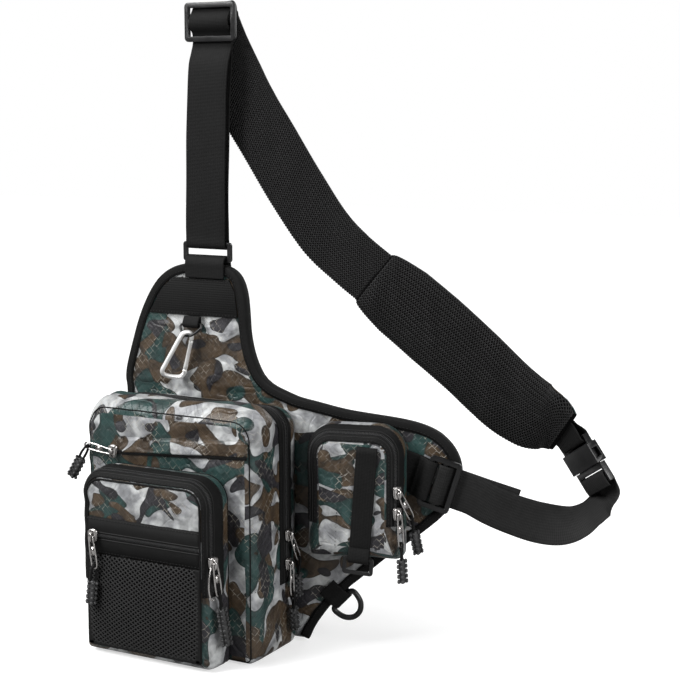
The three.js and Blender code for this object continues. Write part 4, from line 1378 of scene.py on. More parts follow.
class FrontPocket(Pocket):
    """Front pocket, flat under the net and its zip."""

    FREE_UP = (4, 18)
    FACE = (34.5, 35.9)
    UPPER = (136, 146)
    PUFF_TOP = (170, 158)
    PUFF_ACROSS = (-66, -46, 40, 60)

    def lift(self, local: Array) -> Array:
        """Soft dents on the upper face and the sides."""
        x, depth, z = self.parts(local)
        free = ramp(depth, *self.FREE_DEPTH) * ramp(z, *self.FREE_UP)
        face = ramp(depth, *self.FACE)
        upper = ramp(z, *self.UPPER)
        dents = self.ripple(local, (34, 18, 12)) * 1.2 + self.ripple(local, (13, 10, 9)) * 0.6
        puff = 1.6 * upper * ramp(z, *self.PUFF_TOP) * plateau(x, self.PUFF_ACROSS)
        return free * (dents * np.where(face > 0, upper * face + (1 - face) * 0.5, 0.5) + puff * face)


def side_strap_line(up: Array) -> Array:
    """Middle of the strap down the wing pocket's face."""
    return SIDE_STRAP_FOOT[0] + (up - SIDE_STRAP_FOOT[2]) * math.tan(math.radians(SIDE_STRAP_LEAN))


class SidePocket(Pocket):
    """Pocket on the wing, pressed in by the strap down its face."""

    FACE = (28, 30)
    BESIDE = (10, 20)
    PAD_ACROSS = (24, 34, 82, 90)
    PAD_UP = (106, 116, 196, 206)
    FOLD_WIDTH = 2.4

    def lift(self, local: Array) -> Array:
        """Soft pads either side of the strap, dents on the edges."""
        x, depth, z = self.parts(local)
        free = ramp(depth, *self.FREE_DEPTH)
        face = ramp(depth, *self.FACE)
        strap = side_strap_line(z)
        beside = ramp(np.abs(x - strap), *self.BESIDE)
        rim = plateau(x, self.PAD_ACROSS) * plateau(z, self.PAD_UP)
        fold = np.exp(-(((x - strap + SIDE_SEAM) / self.FOLD_WIDTH) ** 2)) * face
        dents = self.ripple(local, (20, 14, 26)) * 1.2 + self.ripple(local, (11, 9, 12)) * 0.55
        pads = (2.2 * beside - 1.5 * fold) * face * rim
        return free * (dents * (0.4 + 0.6 * face * beside) * (1 - face + face * beside) + pads)


@dataclass
class Pockets:
    """The three pockets with their zips, the covered zip and the net."""

    looks: Looks
    sewing: Sewing
    strands: Repeat
    net_left: float = -64.5
    net_right: float = 58.5
    net_bottom: float = 10.5
    net_top: float = 98.0
    net_bulge: float = 4.0
    zip_top: float = 133.0
    mesh_hole: float = 3.3
    net_reach: float = 92.0
    net_step: float = 1.8
    net_lift: float = 0.8
    lining_lift: float = 0.1
    lining_wall: float = 0.3
    rim_thick: float = 1.5
    face_lift: float = 1.0
    seam_reach: float = 15.5
    ridge_reach: float = 3.3
    flap_fade: float = 9.0
    flap_least: float = 0.15
    slip_points: int = 60

    SLIP_TAPE = ((0, 0), (0, 0.8), (0.4, 0.9), (3.6, 0.9), (4, 0.8), (4, 0), (0, 0))
    SLIP_FLAP = (
        (17, 0.02), (13, 0.35), (9, 0.8), (5.5, 1.3), (3.4, 1.6), (2.5, 1.5), (2.2, 1.1), (2.3, 0.6),
        (3.2, 0.3), (9, 0.15), (17, 0.02),
    )
    NET_ANGLES = (34, -40)
    SIDE_SEAM_UP = (108, 204)
    MAIN_WALL = ((0, 3), (6, 0), (13, 0), (35, 0), (74, 0), (80, 2.5), (82, 8))
    FRONT_WALL = ((0, 1.5), (5, 0), (13, 0), (26, 0.6), (33, 3.4), (36, 9))
    SIDE_WALL = ((0, 0), (6, 0), (12, 1), (22, 4), (28, 9), (30, 15))

    def build(self) -> None:
        """Builds and dresses every pocket."""
        self.main = MainPocket("main", MAIN_BOX, self.MAIN_WALL, (13, 35), 2, 66, BAG, 3)
        self.front = FrontPocket("front", FRONT_BOX, self.FRONT_WALL, (12, 35.5), 3, 72, BAG, 9)
        self.side = SidePocket("side", SIDE_BOX, self.SIDE_WALL, (12, 29.6), 3, 128, WING, 12)
        for pocket in (self.main, self.front, self.side):
            shell, zip_node = f"{pocket.name}_shell", f"{pocket.name}_zip"
            keep(pocket.shell(), [self.looks.camouflage], [shell])
            keep(pocket.zip_band(self.sewing), [self.looks.zip_tape], [zip_node])
        cords = (
            (self.main, "main_seam", 80.5, 0.55), (self.front, "front_piping", 35.6, 0.95),
            (self.front, "front_seam", 3, 0.5),
        )
        for pocket, name, depth, radius in cords:
            row = int(np.argmin(np.abs(pocket.profile[:, 0] - depth)))
            line = pocket.wall_points[row] + pocket.wall_ways[row] * radius * 0.5
            cord = add_tube(Skin(), line[:-1], radius, closed=True).mesh(name, pocket.place)
            keep(cord, [self.looks.binding])
        self.main.hem(self.sewing)
        self.slip()
        self.net()
        up = np.linspace(*self.SIDE_SEAM_UP, 40)
        seam = self.side.on_face(np.stack([side_strap_line(up) - SIDE_SEAM, up], -1), 0)
        self.sewing.stitch(WING.points(seam), WING.ways(FORWARD))

    def slip(self) -> None:
        """Builds the covered zip and the flap of cloth that hides most of it."""
        fade = self.flap_fade
        pieces = (
            ("slip_zip", -66, 86.5, 185, 9, self.SLIP_TAPE, Slot.ZIP_TAPE, self.looks.zip_tape),
            ("slip_welt", -54, 87.5, 185.6, 9.2, self.SLIP_FLAP, Slot.CAMOUFLAGE, self.looks.camouflage),
        )
        for name, left, right, up, climb, section, slot, finish in pieces:
            rises, heights = np.array(section).T
            rings = []
            for x in np.linspace(left, right, self.slip_points):
                low = up + climb * (x - left) / (right - left)
                ends = plateau(x, (left, left + fade, right - fade, right)) if name == "slip_welt" else 1.0
                line = np.stack([np.full(len(rises), x), low + rises], -1)
                ring = self.main.on_face(line, SEAT)
                ring[:, 1] -= heights * (self.flap_least + (1 - self.flap_least) * ends)
                rings.append(ring)
            cloth = np.stack(rings)[..., [0, 2]] + self.main.seed * Pocket.FACE_SHIFT
            keep(Skin().rod(rings, cloth).mesh(f"{name}_sewn"), [finish], [name])

    def net_spot(self, x: Array, z: Array, offset: float) -> Array:
        """Points on the bulged net."""
        column = np.clip((x - self.net_left) / (self.net_right - self.net_left), 0, 1)
        row = np.clip((z - self.net_bottom) / (self.net_top - self.net_bottom), 0, 1)
        out = self.net_bulge * (np.sin(np.pi * column) * np.sin(np.pi * row)).clip(0) ** 0.6
        return np.stack([x, FRONT_FACE - SEAT - out - offset, z], -1)

    def net_lines(self) -> list[Line]:
        """Crossing strands of the net, cut to its outline."""
        middle = np.array((self.net_left + self.net_right, self.net_bottom + self.net_top)) / 2
        run = np.arange(-self.net_reach, self.net_reach, self.net_step)[:, None]
        lines = []
        for degrees in self.NET_ANGLES:
            angle = math.radians(degrees)
            way = np.array((math.cos(angle), math.sin(angle)))
            side = np.array((-way[1], way[0]))
            for shift in np.arange(-self.net_reach, self.net_reach, self.mesh_hole):
                x, z = (middle + side * shift + way * run).T
                inside = (x > self.net_left) & (x < self.net_right)
                inside &= (z > self.net_bottom) & (z < self.net_top)
                if inside.sum() > 1:
                    lines.append((self.net_spot(x[inside], z[inside], self.net_lift), FORWARD))
        return lines

    def net(self) -> None:
        """Builds the net with its dark lining, its bound edges and the zip band above it."""
        net = self.strands.run("front_net", self.net_lines(), self.looks.cord, **NET_SIZES)
        keep(net, [self.looks.cord], ["net_panel"])
        across = np.linspace(self.net_left, self.net_right, 40)
        up = np.linspace(self.net_bottom, self.net_top, 30)
        behind = self.net_spot(*np.meshgrid(across, up), self.lining_lift)
        liner = Skin().grid(behind).mesh("net_lining")
        keep(thicken(liner, self.lining_wall), [self.looks.lining])
        self.net_zip()
        rim = Skin()
        level = FRONT_FACE - SEAT - self.face_lift
        left, right, low, high = self.net_left, self.net_right, self.net_bottom, self.net_top
        edges = (
            (left, low + 1, right, low + 1, (0, 0, 1), 4.0),
            (left + 1.5, low, left + 1.5, high, (1, 0, 0), 7.0),
            (right - 1.5, low, right - 1.5, high, (1, 0, 0), 6.0),
        )
        for x, z, x_end, z_end, way, width in edges:
            spots = np.linspace((x, level, z), (x_end, level, z_end), 12)
            add_webbing(rim, [Station(spot, way, width, self.rim_thick) for spot in spots], 3)
        keep(rim.mesh("net_rim"), [self.looks.binding])

    def net_zip(self) -> None:
        """Builds the flat zip band above the net."""
        middle = (self.net_top + self.zip_top) / 2
        profile = [(0, self.net_top + SEAT), (0, self.zip_top), (0.9, self.zip_top - 0.2)]
        profile += [(1.0, middle + 6), (0.8, middle + 3.2), (0.8, middle - 3.2), (1.0, middle - 6)]
        profile += [(0.9, self.net_top + SEAT + 0.2), (0, self.net_top + SEAT)]
        across = np.linspace(self.net_left, self.net_right, 50)
        rings = []
        for x in across:
            sag = 0.25 * math.sin(x * 0.31) * math.sin(x * 0.07)
            rings.append([(x, FRONT_FACE - SEAT - out, z + sag) for out, z in profile])
        band = Skin().rod(np.array(rings)).mesh("net_zip_tape")
        keep(band, [self.looks.zip_tape], ["net_zip"])
        level = np.full_like(across, FRONT_FACE - SEAT - self.face_lift)
        line = np.stack([across, level, np.full_like(across, middle)], -1)
        self.sewing.coil(line, FORWARD)
        for side in (-1, 1):
            self.sewing.stitch(line + (0, 0, side * self.seam_reach), FORWARD)
            self.sewing.ridge(line + (0, 0, side * self.ridge_reach), FORWARD)


# Back panel


@dataclass
class BackPanel:
    """Padded panel with its neck and wing, its binding and the woven patch."""

    looks: Looks
    sewing: Sewing
    thick: float = 8.0
    wing_start: float = 95.0
    wing_angle: float = math.radians(15)
    bend_radius: float = 60.0
    neck_top: float = 362.0
    edge_step: float = 3.0
    columns: int = 72
    cloth_inset: float = 3.0
    stitch_inset: float = 6.6
    edge_wave: float = 0.5
    pad_rise: float = 1.1
    pad_pitch: float = 58.0
    rear_inset: float = 0.6
    print_shift: float = 300.0

    CROWN_RIM = (0, 14)
    CROWN_UP = (6, 20)
    BARE_UP = (236, 244, 298, 306)
    BARE_ALONG = (206, 214)
    FOLD_FACES = ((-1.45, -1), (9.45, 1))
    LEFT_EDGE = (
        (-102, 4), (-103, 30), (-103, 230), (-107, 246), (-98, 276), (-87, 309), (-71, 338), (-56, 352),
        (-37, 360),
    )
    RIGHT_EDGE = (
        (103, 4), (108, 16), (124, 39), (140, 56), (159, 72), (185, 95), (210, 113), (236, 136), (247, 156),
        (250, 175), (247, 189), (240, 201), (228, 212), (211, 219), (190, 223), (162, 226), (137, 229),
        (111, 235), (103, 236.6), (97.5, 237.6), (92, 238.6), (86, 240), (56, 250), (44, 270), (38, 293),
        (37, 313), (35, 335), (28, 352), (14, 360),
    )
    FOLD = (
        (9, -1.35), (6, -1.45), (2.2, -1.4), (0.7, -0.9), (0.1, 0.4), (0, 4), (0.1, 7.6), (0.7, 8.9),
        (2.2, 9.4), (6, 9.45), (9, 9.35), (9, 8.35), (1.3, 8.35), (1.3, -0.35), (9, -0.35), (9, -1.35),
    )
    PATCH_SEAMS = ((-72.5, 25, 312), (-42.8, 16.6, 344.8))

    def bend(self, along: Array, back: Array, up: Array) -> Array:
        """Carries flat points onto the panel, which bends back at the wing."""
        start = self.wing_start - self.bend_radius * math.tan(self.wing_angle / 2)
        turn = np.clip((along - start) / self.bend_radius, 0, self.wing_angle)
        beyond = np.maximum(0, along - start - self.bend_radius * self.wing_angle)
        reach = self.bend_radius - back
        x = np.minimum(along, start) + reach * np.sin(turn) + beyond * math.cos(self.wing_angle)
        y = self.bend_radius - reach * np.cos(turn) + beyond * math.sin(self.wing_angle)
        return np.stack([x, y, np.broadcast_to(up, x.shape)], -1)

    def build(self) -> None:
        """Builds and dresses the panel's pieces."""
        edge = np.array([*self.LEFT_EDGE, (-11, self.neck_top), *self.RIGHT_EDGE[::-1]], float)
        self.edge = evenly(round_off(edge), self.edge_step)
        way = tangents(self.edge)
        self.inward = np.stack([way[:, 1], -way[:, 0]], -1)
        self.panel()
        self.edging()
        self.patch()

    def panel(self) -> None:
        """Builds the padded panel: printed cloth in front, spacer mesh behind."""
        drawn = self.edge + self.inward * self.cloth_inset
        top = int(np.argmax(drawn[:, 1]))
        left, right = drawn[: top + 1], drawn[top:][::-1]
        ups = np.unique(np.round(np.concatenate([left[:, 1], right[:, 1], [right[0, 1]]]), 1))
        ups = ups[(ups >= max(left[0, 1], right[0, 1])) & (ups <= drawn[top, 1] - 0.5)]
        share = np.linspace(0, 1, self.columns)
        ripple = Ripple(21)
        front, rear, flat = [], [], []
        for up in ups:
            a, b = (np.interp(up, side[:, 1], side[:, 0]) for side in (left, right))
            along = a + (b - a) * share
            rim = np.minimum(along - a, b - along)
            crown = ramp(rim, *self.CROWN_RIM) * ramp(up, *self.CROWN_UP)
            bare = plateau(up, self.BARE_UP) + ramp(along, *self.BARE_ALONG)
            level = np.full_like(along, up)
            spots = np.stack([along, 0 * along, level], -1)
            dent = ripple(spots, (26, 10, 22)) * 0.9 + ripple(spots, (12, 10, 10)) * 0.35
            front.append(self.bend(along, -crown * np.clip(bare, 0, 1) * (0.9 + dent), up))
            pad = self.pad_rise * crown * (0.4 + 0.6 * np.abs(np.sin(up * math.pi / self.pad_pitch)))
            rear.append(self.bend(along, self.thick - self.rear_inset + pad, up))
            flat.append(np.stack([along, level], -1))
        front, rear, flat = map(np.stack, (front, rear, flat))
        skin = Skin().grid(front, flat + self.print_shift).grid(rear, flat, 1)
        for strip in (np.s_[0], np.s_[-1], np.s_[:, 0], np.s_[:, -1]):
            skin.grid(np.stack([front[strip], rear[strip]]), ink=1)
        panel = skin.mesh("back_panel_padded")
        keep(panel, [self.looks.camouflage, self.looks.backing], ["back_panel"])

    def edging(self) -> None:
        """Builds the binding folded over the panel's edge, with a row of stitches on each side."""
        inset, back = np.array(self.FOLD).T
        ripple = Ripple(31)
        rings = []
        for spot, inward in zip(self.edge, self.inward):
            wave = self.edge_wave * float(ripple(np.array((spot[0], 0, spot[1])), (9, 9, 9)))
            reach = inset + wave * (inset > 5)
            rings.append(self.bend(spot[0] + reach * inward[0], back, spot[1] + reach * inward[1]))
        binding = Skin().rod(rings).mesh("panel_binding_tape")
        keep(binding, [self.looks.binding], ["panel_binding"])
        along, up = (self.edge + self.inward * self.stitch_inset).T
        for back, sign in self.FOLD_FACES:
            points, nearer = (self.bend(along, np.full(len(along), y), up) for y in (back, back - 1.0))
            self.sewing.stitch(points, unit(points - nearer) * sign)

    def patch(self) -> None:
        """Builds the woven patch across the neck with its sewn lines."""
        patch = softened_copy("neck_patch", "neck_patch_cloth", 0.5, 2)
        keep(patch, [self.looks.patch], ["neck_patch"])
        for left, right, up in self.PATCH_SEAMS:
            level = -SEAT - 1.5
            self.sewing.stitch(np.linspace((left, level, up), (right, level, up), 30), FORWARD)


# Straps, padding and hardware


SLIDER_PLACE = WING.child((135, 0, 165), turned(17, "Y"))
SIDE_STRAP_PLACE = WING.child(SIDE_STRAP_FOOT, turned(SIDE_STRAP_LEAN, "Y"))
D_PLACE = WING.child((37, 4, 47.6), turned(-46.7, "Y"))
HOOK_PLACE = BAG.child((-22, -3.2, 309))
HOOK_RING_PLACE = HOOK_PLACE.child((0, -2.7, -7.4), turned(-38, "X"))
SNAP_PLACE = BAG.child((-23.8, -13.5, 289.5), turned(24, "Y") @ turned(58, "Z"))


def buckle_place() -> Place:
    """Frame of the buckle: X from the sleeve to the waist strap, Y across, Z through."""
    way = Vector((0.55, -0.15, -0.82)).normalized()
    across = Vector((0.58, -0.71, 0.39))
    across = (across - way * across.dot(way)).normalized()
    turn = Matrix((way, across, way.cross(across))).transposed()
    return WING.child((267, 22.5, 185.5), turn)


BUCKLE_PLACE = buckle_place()


def sling_stations(rows: Rows, sign: float) -> list[Station]:
    """Stations of straps that run in the wing's frame.

    Args:
        rows: Along, back, up, width, thickness and turn of each section.
        sign: Which way the turn leans.

    Returns:
        Stations in the bag's frame.
    """
    stations = []
    for i, (along, back, up, width, thick, turn) in enumerate(rows):
        before, after = rows[max(i - 1, 0)], rows[min(i + 1, len(rows) - 1)]
        way = unit(np.array((after[0] - before[0], 0, after[2] - before[2])))
        lean = math.radians(turn)
        across = np.array((-way[2] * math.cos(lean), sign * math.sin(lean), way[0] * math.cos(lean)))
        spot = WING.points(np.array((along, back, up)))
        stations.append(Station(spot, WING.ways(across), width, thick))
    return stations


@dataclass
class Webbing:
    """All flat straps and tabs."""

    looks: Looks

    SIDE_STRAP = (
        (0, 98), (0, 50), (0, 4), (0.2, -4), (-0.4, -8.6), (-2.8, -10.6), (-5.3, -8.6), (-4.9, -3),
        (-2.6, 3),
    )
    NECK_LOOP = (
        (-2.7, 347), (-2.7, 355), (-2.6, 361.5), (-0.6, 365.8), (4, 368.2), (8.6, 365.8), (10.7, 361.5),
        (10.7, 350), (10.7, 331),
    )
    UPPER_STRAP = (
        (-3, 8, 592), (-3.5, 9.9, 575), (-4, 8.4, 552), (-6, 6, 490), (-8, 6, 420), (-9, 7.5, 388),
        (-9, 7.4, 377.6), (-9, 4, 375.4), (-9, 0.6, 377.6), (-9, 0.3, 388), (-8, -0.6, 420), (-6, -1, 490),
        (-3.8, 0.8, 548), (-3, 4.2, 560), (-3, 7.1, 567.5), (-3, 7.7, 573.5), (-3, 6.3, 579),
        (-3, 1.4, 584.4), (-3, 0.4, 588.5), (-3, 1.2, 592.8), (-3, 4.8, 597.4), (-3, 7.8, 602.2),
        (-3, 10.4, 605.6), (-2.4, 13.2, 603.2, 3), (-2.2, 13.7, 597.6, 5),
    )
    SLEEVE_TAIL = (
        (-26.5, -4.4), (-23.5, -4.7), (-20.2, -4.4), (-18.3, -2.6), (-18, 0), (-18.3, 2.6), (-20.2, 4.4),
        (-23.5, 4.7), (-26.5, 4.4),
    )
    ANCHOR = (
        (-48, -1.4), (-36, -1.4), (-25, -1.5), (-21.5, -2.2), (-17.5, -4), (-13.2, -4.2), (-8.9, -4.5),
        (-7.6, -8), (-8.9, -11.5), (-13.2, -11.8), (-17.4, -9.8), (-21, -6.6), (-24.5, -5.2),
    )
    WAIST_AT_SLIDER = (
        (72, 0.4), (44, -1.6), (20, -2.4), (13, -2.6), (6, -3), (0, -4.4), (-3.6, -5.4), (-4.8, -8),
        (-3.6, -10.9), (0, -11.6), (3.6, -10.9), (6.6, -7.2), (9.4, -5.2), (13, -4.85), (20, -4.8), (32, -5),
    )
    WAIST_RUN = (
        (184, -4.5, 146.5, 0), (206, -2, 138, 4), (227, 2, 131.8, 14), (245, 7, 129.4, 30),
        (260, 12, 132.2, 48), (272, 15.5, 139.5, 58), (281.5, 17, 149, 55),
    )
    WAIST_AT_PLUG = (
        (36, -1.6), (30, -3.4), (22, -4.5), (14, -3.6), (12.4, 0), (14, 3.6), (22, 4.5), (27.5, 4),
    )
    D_TAB = (
        (-6.9, 15), (-6.9, 8), (-6.8, 0.4), (-3.4, -4.8), (0, -7.2), (3.4, -4.8), (6.8, 0.4), (6.9, 8),
        (6.9, 15),
    )
    HOOK_TAB = ((0.5, 0.6), (0.4, -4), (-0.6, -8.6), (-3.2, -10), (-5.4, -8), (-4.4, -3.5), (-2, 0.6))

    def sleeve_tail(self) -> list[Station]:
        """Webbing from the sleeve's end, round the socket's bar and back."""
        before, last = sling_stations(PaddedSling.SLEEVE, -1)[-2:]
        way = unit(np.array(last.at) - np.array(before.at))
        across = unit(last.across - way * np.dot(last.across, way))
        out = np.cross(way, across)
        ends = []
        for side, reach in ((-1, -4), (-1, 3.5), (1, 3.5), (1, -4)):
            spot = last.at + way * reach + out * side * 2.3
            ends.append(Station(spot, across, WAIST_WEB, WEB_THICK))
        turn = web_rows(self.SLEEVE_TAIL, "xz", WAIST_WEB, (0, 1, 0), BUCKLE_PLACE)
        return ends[:2] + turn + ends[2:]

    def build(self) -> None:
        """Builds and dresses every strap."""
        across = (1, 0, 0)
        neck = [Station((-9, back, up), across, SHOULDER_WEB, WEB_THICK) for back, up in self.NECK_LOOP]
        upper = []
        for x, back, up, *swing in self.UPPER_STRAP:
            lean = math.radians(sum(swing))
            side = (math.cos(lean), math.sin(lean), 0)
            upper.append(Station((x, back, up), side, SHOULDER_WEB, WEB_THICK))
        waist = web_rows(self.WAIST_AT_SLIDER, "xy", WAIST_WEB, (0, 0, 1), SLIDER_PLACE)
        waist += sling_stations([(*row[:3], WAIST_WEB, WEB_THICK, row[3]) for row in self.WAIST_RUN], 1)
        waist += web_rows(self.WAIST_AT_PLUG, "xz", WAIST_WEB, (0, -1, 0), BUCKLE_PLACE)
        runs = (
            ("side_strap", web_rows(self.SIDE_STRAP, "yz", SIDE_WEB, across, SIDE_STRAP_PLACE), 0.1),
            ("neck_loop", neck, 0.0),
            ("upper_strap", upper, 0.3),
            ("sleeve_tail", self.sleeve_tail(), 0.0),
            ("wing_anchor", web_rows(self.ANCHOR, "xy", WAIST_WEB, (0, 0, 1), SLIDER_PLACE), 0.0),
            ("waist_strap", waist, 0.15),
            ("d_ring_tab", web_rows(self.D_TAB, "yz", SIDE_WEB, across, D_PLACE), 0.0),
            ("hook_tab", web_rows(self.HOOK_TAB, "yz", HOOK_WEB, across, HOOK_PLACE, HOOK_WEB_THICK), 0.0),
        )
        for name, stations, sway in runs:
            # The waist strap takes the lighter copy of the webbing, which carries painted light.
            finish = self.looks.waist if name == "waist_strap" else self.looks.webbing
            strap = add_webbing(Skin(), stations, sway=sway).mesh(f"{name}_web")
            keep(strap, [finish], [name])


@dataclass
class PaddedSling:
    """Padded shoulder strap and the thicker sleeve over its lower half."""

    looks: Looks
    strands: Repeat
    columns: int = 17
    squareness: float = 2.7
    end_fade: float = 16.0
    valley_start: float = 96.0
    valley_run: float = 96.0
    strand_lift: float = 0.25
    strand_margin: float = 1.5
    strand_step: float = 1.3
    print_shift: float = 90.0

    PLEAT_RUN = (34, 4)
    VALLEY_FADE = (0, 0.2, 0.8, 1)
    STRAP = (
        (-90.5, 38.4, 597, 46, 4, 10), (-90, 39, 590, 47, 4.5, 10), (-84, 41, 568, 50, 6.5, 8),
        (-72, 40, 538, 54, 8, 4), (-60, 38.5, 511, 57, 8, 0), (-40, 36, 479, 57, 8, 0),
        (-9.5, 34, 430, 57, 8, 0), (18, 33, 391, 56, 8, 0), (42, 32, 368.4, 54, 8, 0),
        (66, 32, 349.3, 54, 8, 0),
    )
    SLEEVE = (
        (64.5, 32, 350.5, 56.5, 10, 0), (67, 32, 348.5, 60, 12.5, 0), (73, 32, 343.7, 64, 15.5, 0),
        (92, 32, 328.6, 71, 18, 0), (122, 31, 304.5, 72, 19, 0), (156, 30, 276, 70, 19, 0),
        (194, 29, 242, 70, 17, 4), (217, 28.6, 227, 72, 14.5, 15), (234.7, 28.8, 219.4, 68, 12, 29),
        (244.5, 27.6, 212.6, 60, 10.5, 38),
    )
    ROLL = ((0.975, 0.8), (0.92, 1.2), (0.84, 1.0), (0.75, 0.2))
    AROUND = 49
    SEEN = 25

    def build(self) -> None:
        """Builds and dresses the strap and the sleeve."""
        lines = []
        pads = (("shoulder_strap", self.STRAP, 41, 0.6), ("shoulder_sleeve", self.SLEEVE, 43, 1.6))
        for name, rows, seed, crease in pads:
            rings = self.rings(rows, seed, crease)
            pad = self.skin(rings).mesh(f"{name}_pad")
            keep(pad, [self.looks.spacer, self.looks.camouflage], [name])
            lines += self.mesh_lines(rings)
        mesh = self.strands.run("sling_mesh", lines, self.looks.strand, **MESH_SIZES)
        keep(mesh, [self.looks.strand])

    def rings(self, rows: Rows, seed: int, crease: float) -> Array:
        """Crowned sections along a pad, creased.

        Args:
            rows: Along, back, up, width, thickness and turn of each section.
            seed: Start of the creases' noise.
            crease: Height of the creases.

        Returns:
            Rings of points; the first of each ring are the seen face.
        """
        path, across, out, half, thick = follow(sling_stations(rows, -1), 16)
        run = lengths(path)
        ripple = Ripple(seed)
        turn = np.linspace(0, 2 * math.pi, self.AROUND)
        power = 2 / self.squareness
        flat = np.sign(np.cos(turn)) * np.abs(np.cos(turn)) ** power
        rise = np.sign(np.sin(turn)) * np.abs(np.sin(turn)) ** power
        rings = []
        for i, centre in enumerate(path):
            ends = ramp(min(run[i], run[-1] - run[i]), 0, self.end_fade)
            wide = flat * half[i]
            spots = np.stack([run[i] + 0.9 * wide, wide, rise * 9], -1)
            fold = ripple(spots, (24, 60, 40)) + 0.5 * ripple(spots, (9, 30, 30))
            lift = crease * fold * np.abs(rise) * (0.4 + 0.6 * ends)
            if crease > 1:
                near_end = ramp(run[i], *(run[-1] - before for before in self.PLEAT_RUN))
                pleats = ripple(np.stack([np.full_like(wide, run[i]), wide, rise * 9], -1), (60, 5.5, 30))
                slide = np.clip((run[i] - self.valley_start) / self.valley_run, 0, 1)
                valley = np.exp(-(((flat - 0.6 + 0.85 * slide) / 0.15) ** 2))
                valley = valley * plateau(slide, self.VALLEY_FADE)
                lift = lift + np.abs(rise) * (1.5 * near_end * pleats - 2.4 * valley)
            height = rise * thick[i] + np.sign(rise) * lift
            rings.append(centre + wide[:, None] * across[i] + height[:, None] * out[i])
        return np.stack(rings)

    def skin(self, rings: Array) -> Skin:
        """Seen face, back and domed ends of a pad."""
        back = rings[:, self.SEEN :]
        skin = Skin().grid(rings[:, : self.SEEN + 1]).grid(back, grid_map(back) + self.print_shift, 1)
        for ring, inner in ((rings[0], rings[1]), (rings[-1], rings[-2])):
            middle, way = ring.mean(axis=0), unit((ring - inner).mean(axis=0))
            rolled = [ring] + [middle + (ring - middle) * size + way * reach for size, reach in self.ROLL]
            skin.grid(np.stack(rolled)).cap(rolled[-1])
        return skin

    def mesh_lines(self, rings: Array) -> list[Line]:
        """Zigzag strands of the spacer mesh over the seen face."""
        face = rings[:, 1 : self.SEEN - 1]
        ways = grid_ways(face)
        if np.mean(ways[..., 1]) > 0:
            ways = -ways
        face = face + ways * self.strand_lift
        run = lengths(face[:, face.shape[1] // 2])
        steps = np.arange(self.strand_margin, run[-1] - self.strand_margin, self.strand_step)
        row = np.interp(steps, run, np.arange(len(run)))
        lines = []
        for column in range(self.columns):
            for sign in (1, -1):
                swing = sign * (np.abs((np.arange(len(steps)) / 2.0) % 2 - 1) - 0.5)
                place = (column + 0.5 + swing) / self.columns
                lines.append((self.on_grid(face, row, place), self.on_grid(ways, row, place)))
        return lines

    @staticmethod
    def on_grid(grid: Array, row: Array, place: Array) -> Array:
        """Values of a grid at a row and a share of the way across its width."""
        low = np.clip(row.astype(int), 0, len(grid) - 2)
        share = (row - low)[:, None]
        spots = []
        for r, s, p in zip(low, share, place):
            line = grid[r] * (1 - s) + grid[r + 1] * s
            run = lengths(line)
            spots.append(between(p, run / max(run[-1], 1e-9), line))
        return np.array(spots)


@dataclass
class Hardware:
    """Moulded rings, sliders and buckle, and the wire rings."""

    looks: Looks
    d_wire: float = 2.7
    hook_wire: float = 1.25

    D_PATH = (
        (-10, -4), (0, -4), (10, -4), (13.2, -6), (13.4, -11), (10.5, -19), (4, -24), (-4, -24),
        (-10.5, -19), (-13.4, -11), (-13.2, -6),
    )
    HOOK_RING = (
        (-10.6, 0), (0, 0), (10.6, 0), (12, -2), (9, -7.5), (3, -12.4), (-3, -12.4), (-9, -7.5), (-12, -2),
    )
    EDGES = (
        ("side_ring", 0.8), ("neck_ring", 1.2), ("top_slider", 1.2), ("buckle_socket", 0.9),
        ("buckle_plug", 0.8), ("wing_slider", 1.3),
    )

    def build(self) -> None:
        """Builds and dresses the hardware."""
        for node, edge in self.EDGES:
            piece = softened_copy(node, f"{node}_moulded", edge)
            keep(piece, [self.looks.plastic], [node])
        wires = (
            ("d_ring", self.D_PATH, self.d_wire, D_PLACE),
            ("hook_ring", self.HOOK_RING, self.hook_wire, HOOK_RING_PLACE),
        )
        for node, rows, radius, place in wires:
            path = spline([(x, 0, z) for x, z in rows], 5, True)
            wire = add_tube(Skin(), path, radius, 12, True).mesh(f"{node}_moulded", place)
            keep(wire, [self.looks.plastic], [node])


@dataclass
class SnapHook:
    """Snap hook with its sprung gate."""

    looks: Looks
    wire: float = 2.15
    sides: int = 14

    BODY = (
        (11.4, -34), (11.9, -37.6), (9.8, -41.2), (5, -42.6), (-5, -42.6), (-9.8, -41.2), (-12, -37.6),
        (-11.2, -31), (-8.6, -15), (-6.4, -1.6), (-4.5, 4.2), (0, 6.2), (4.5, 4.2), (6.4, -1),
    )
    HINGE = (11.28, -33.2)
    NOSE = (6.55, -1.95)
    GATE = (
        (0, 0.86), (0.03, 1.0), (0.16, 1.0), (0.19, 0.9), (0.9, 0.9), (0.93, 0.98), (0.985, 0.98), (1, 0.86),
    )

    def build(self) -> None:
        """Builds and dresses the hook and its gate."""
        path = spline([(x, 0, z) for x, z in self.BODY], 6)
        body = Skin().rod(tube_rings(path, self.wire, self.sides, False)).mesh("snap_hook_body", SNAP_PLACE)
        keep(body, [self.looks.aluminium], ["carabiner_body"])
        hinge, nose = (np.array((x, 0, z)) for x, z in (self.HINGE, self.NOSE))
        rings = []
        for share, size in self.GATE:
            ring = tube_rings(np.stack([hinge, nose]), self.wire * size, self.sides, False)[0]
            rings.append(ring + (nose - hinge) * share)
        gate = Skin().rod(rings).mesh("snap_hook_gate", SNAP_PLACE)
        keep(gate, [self.looks.aluminium], ["carabiner_gate"], Body.GATE)


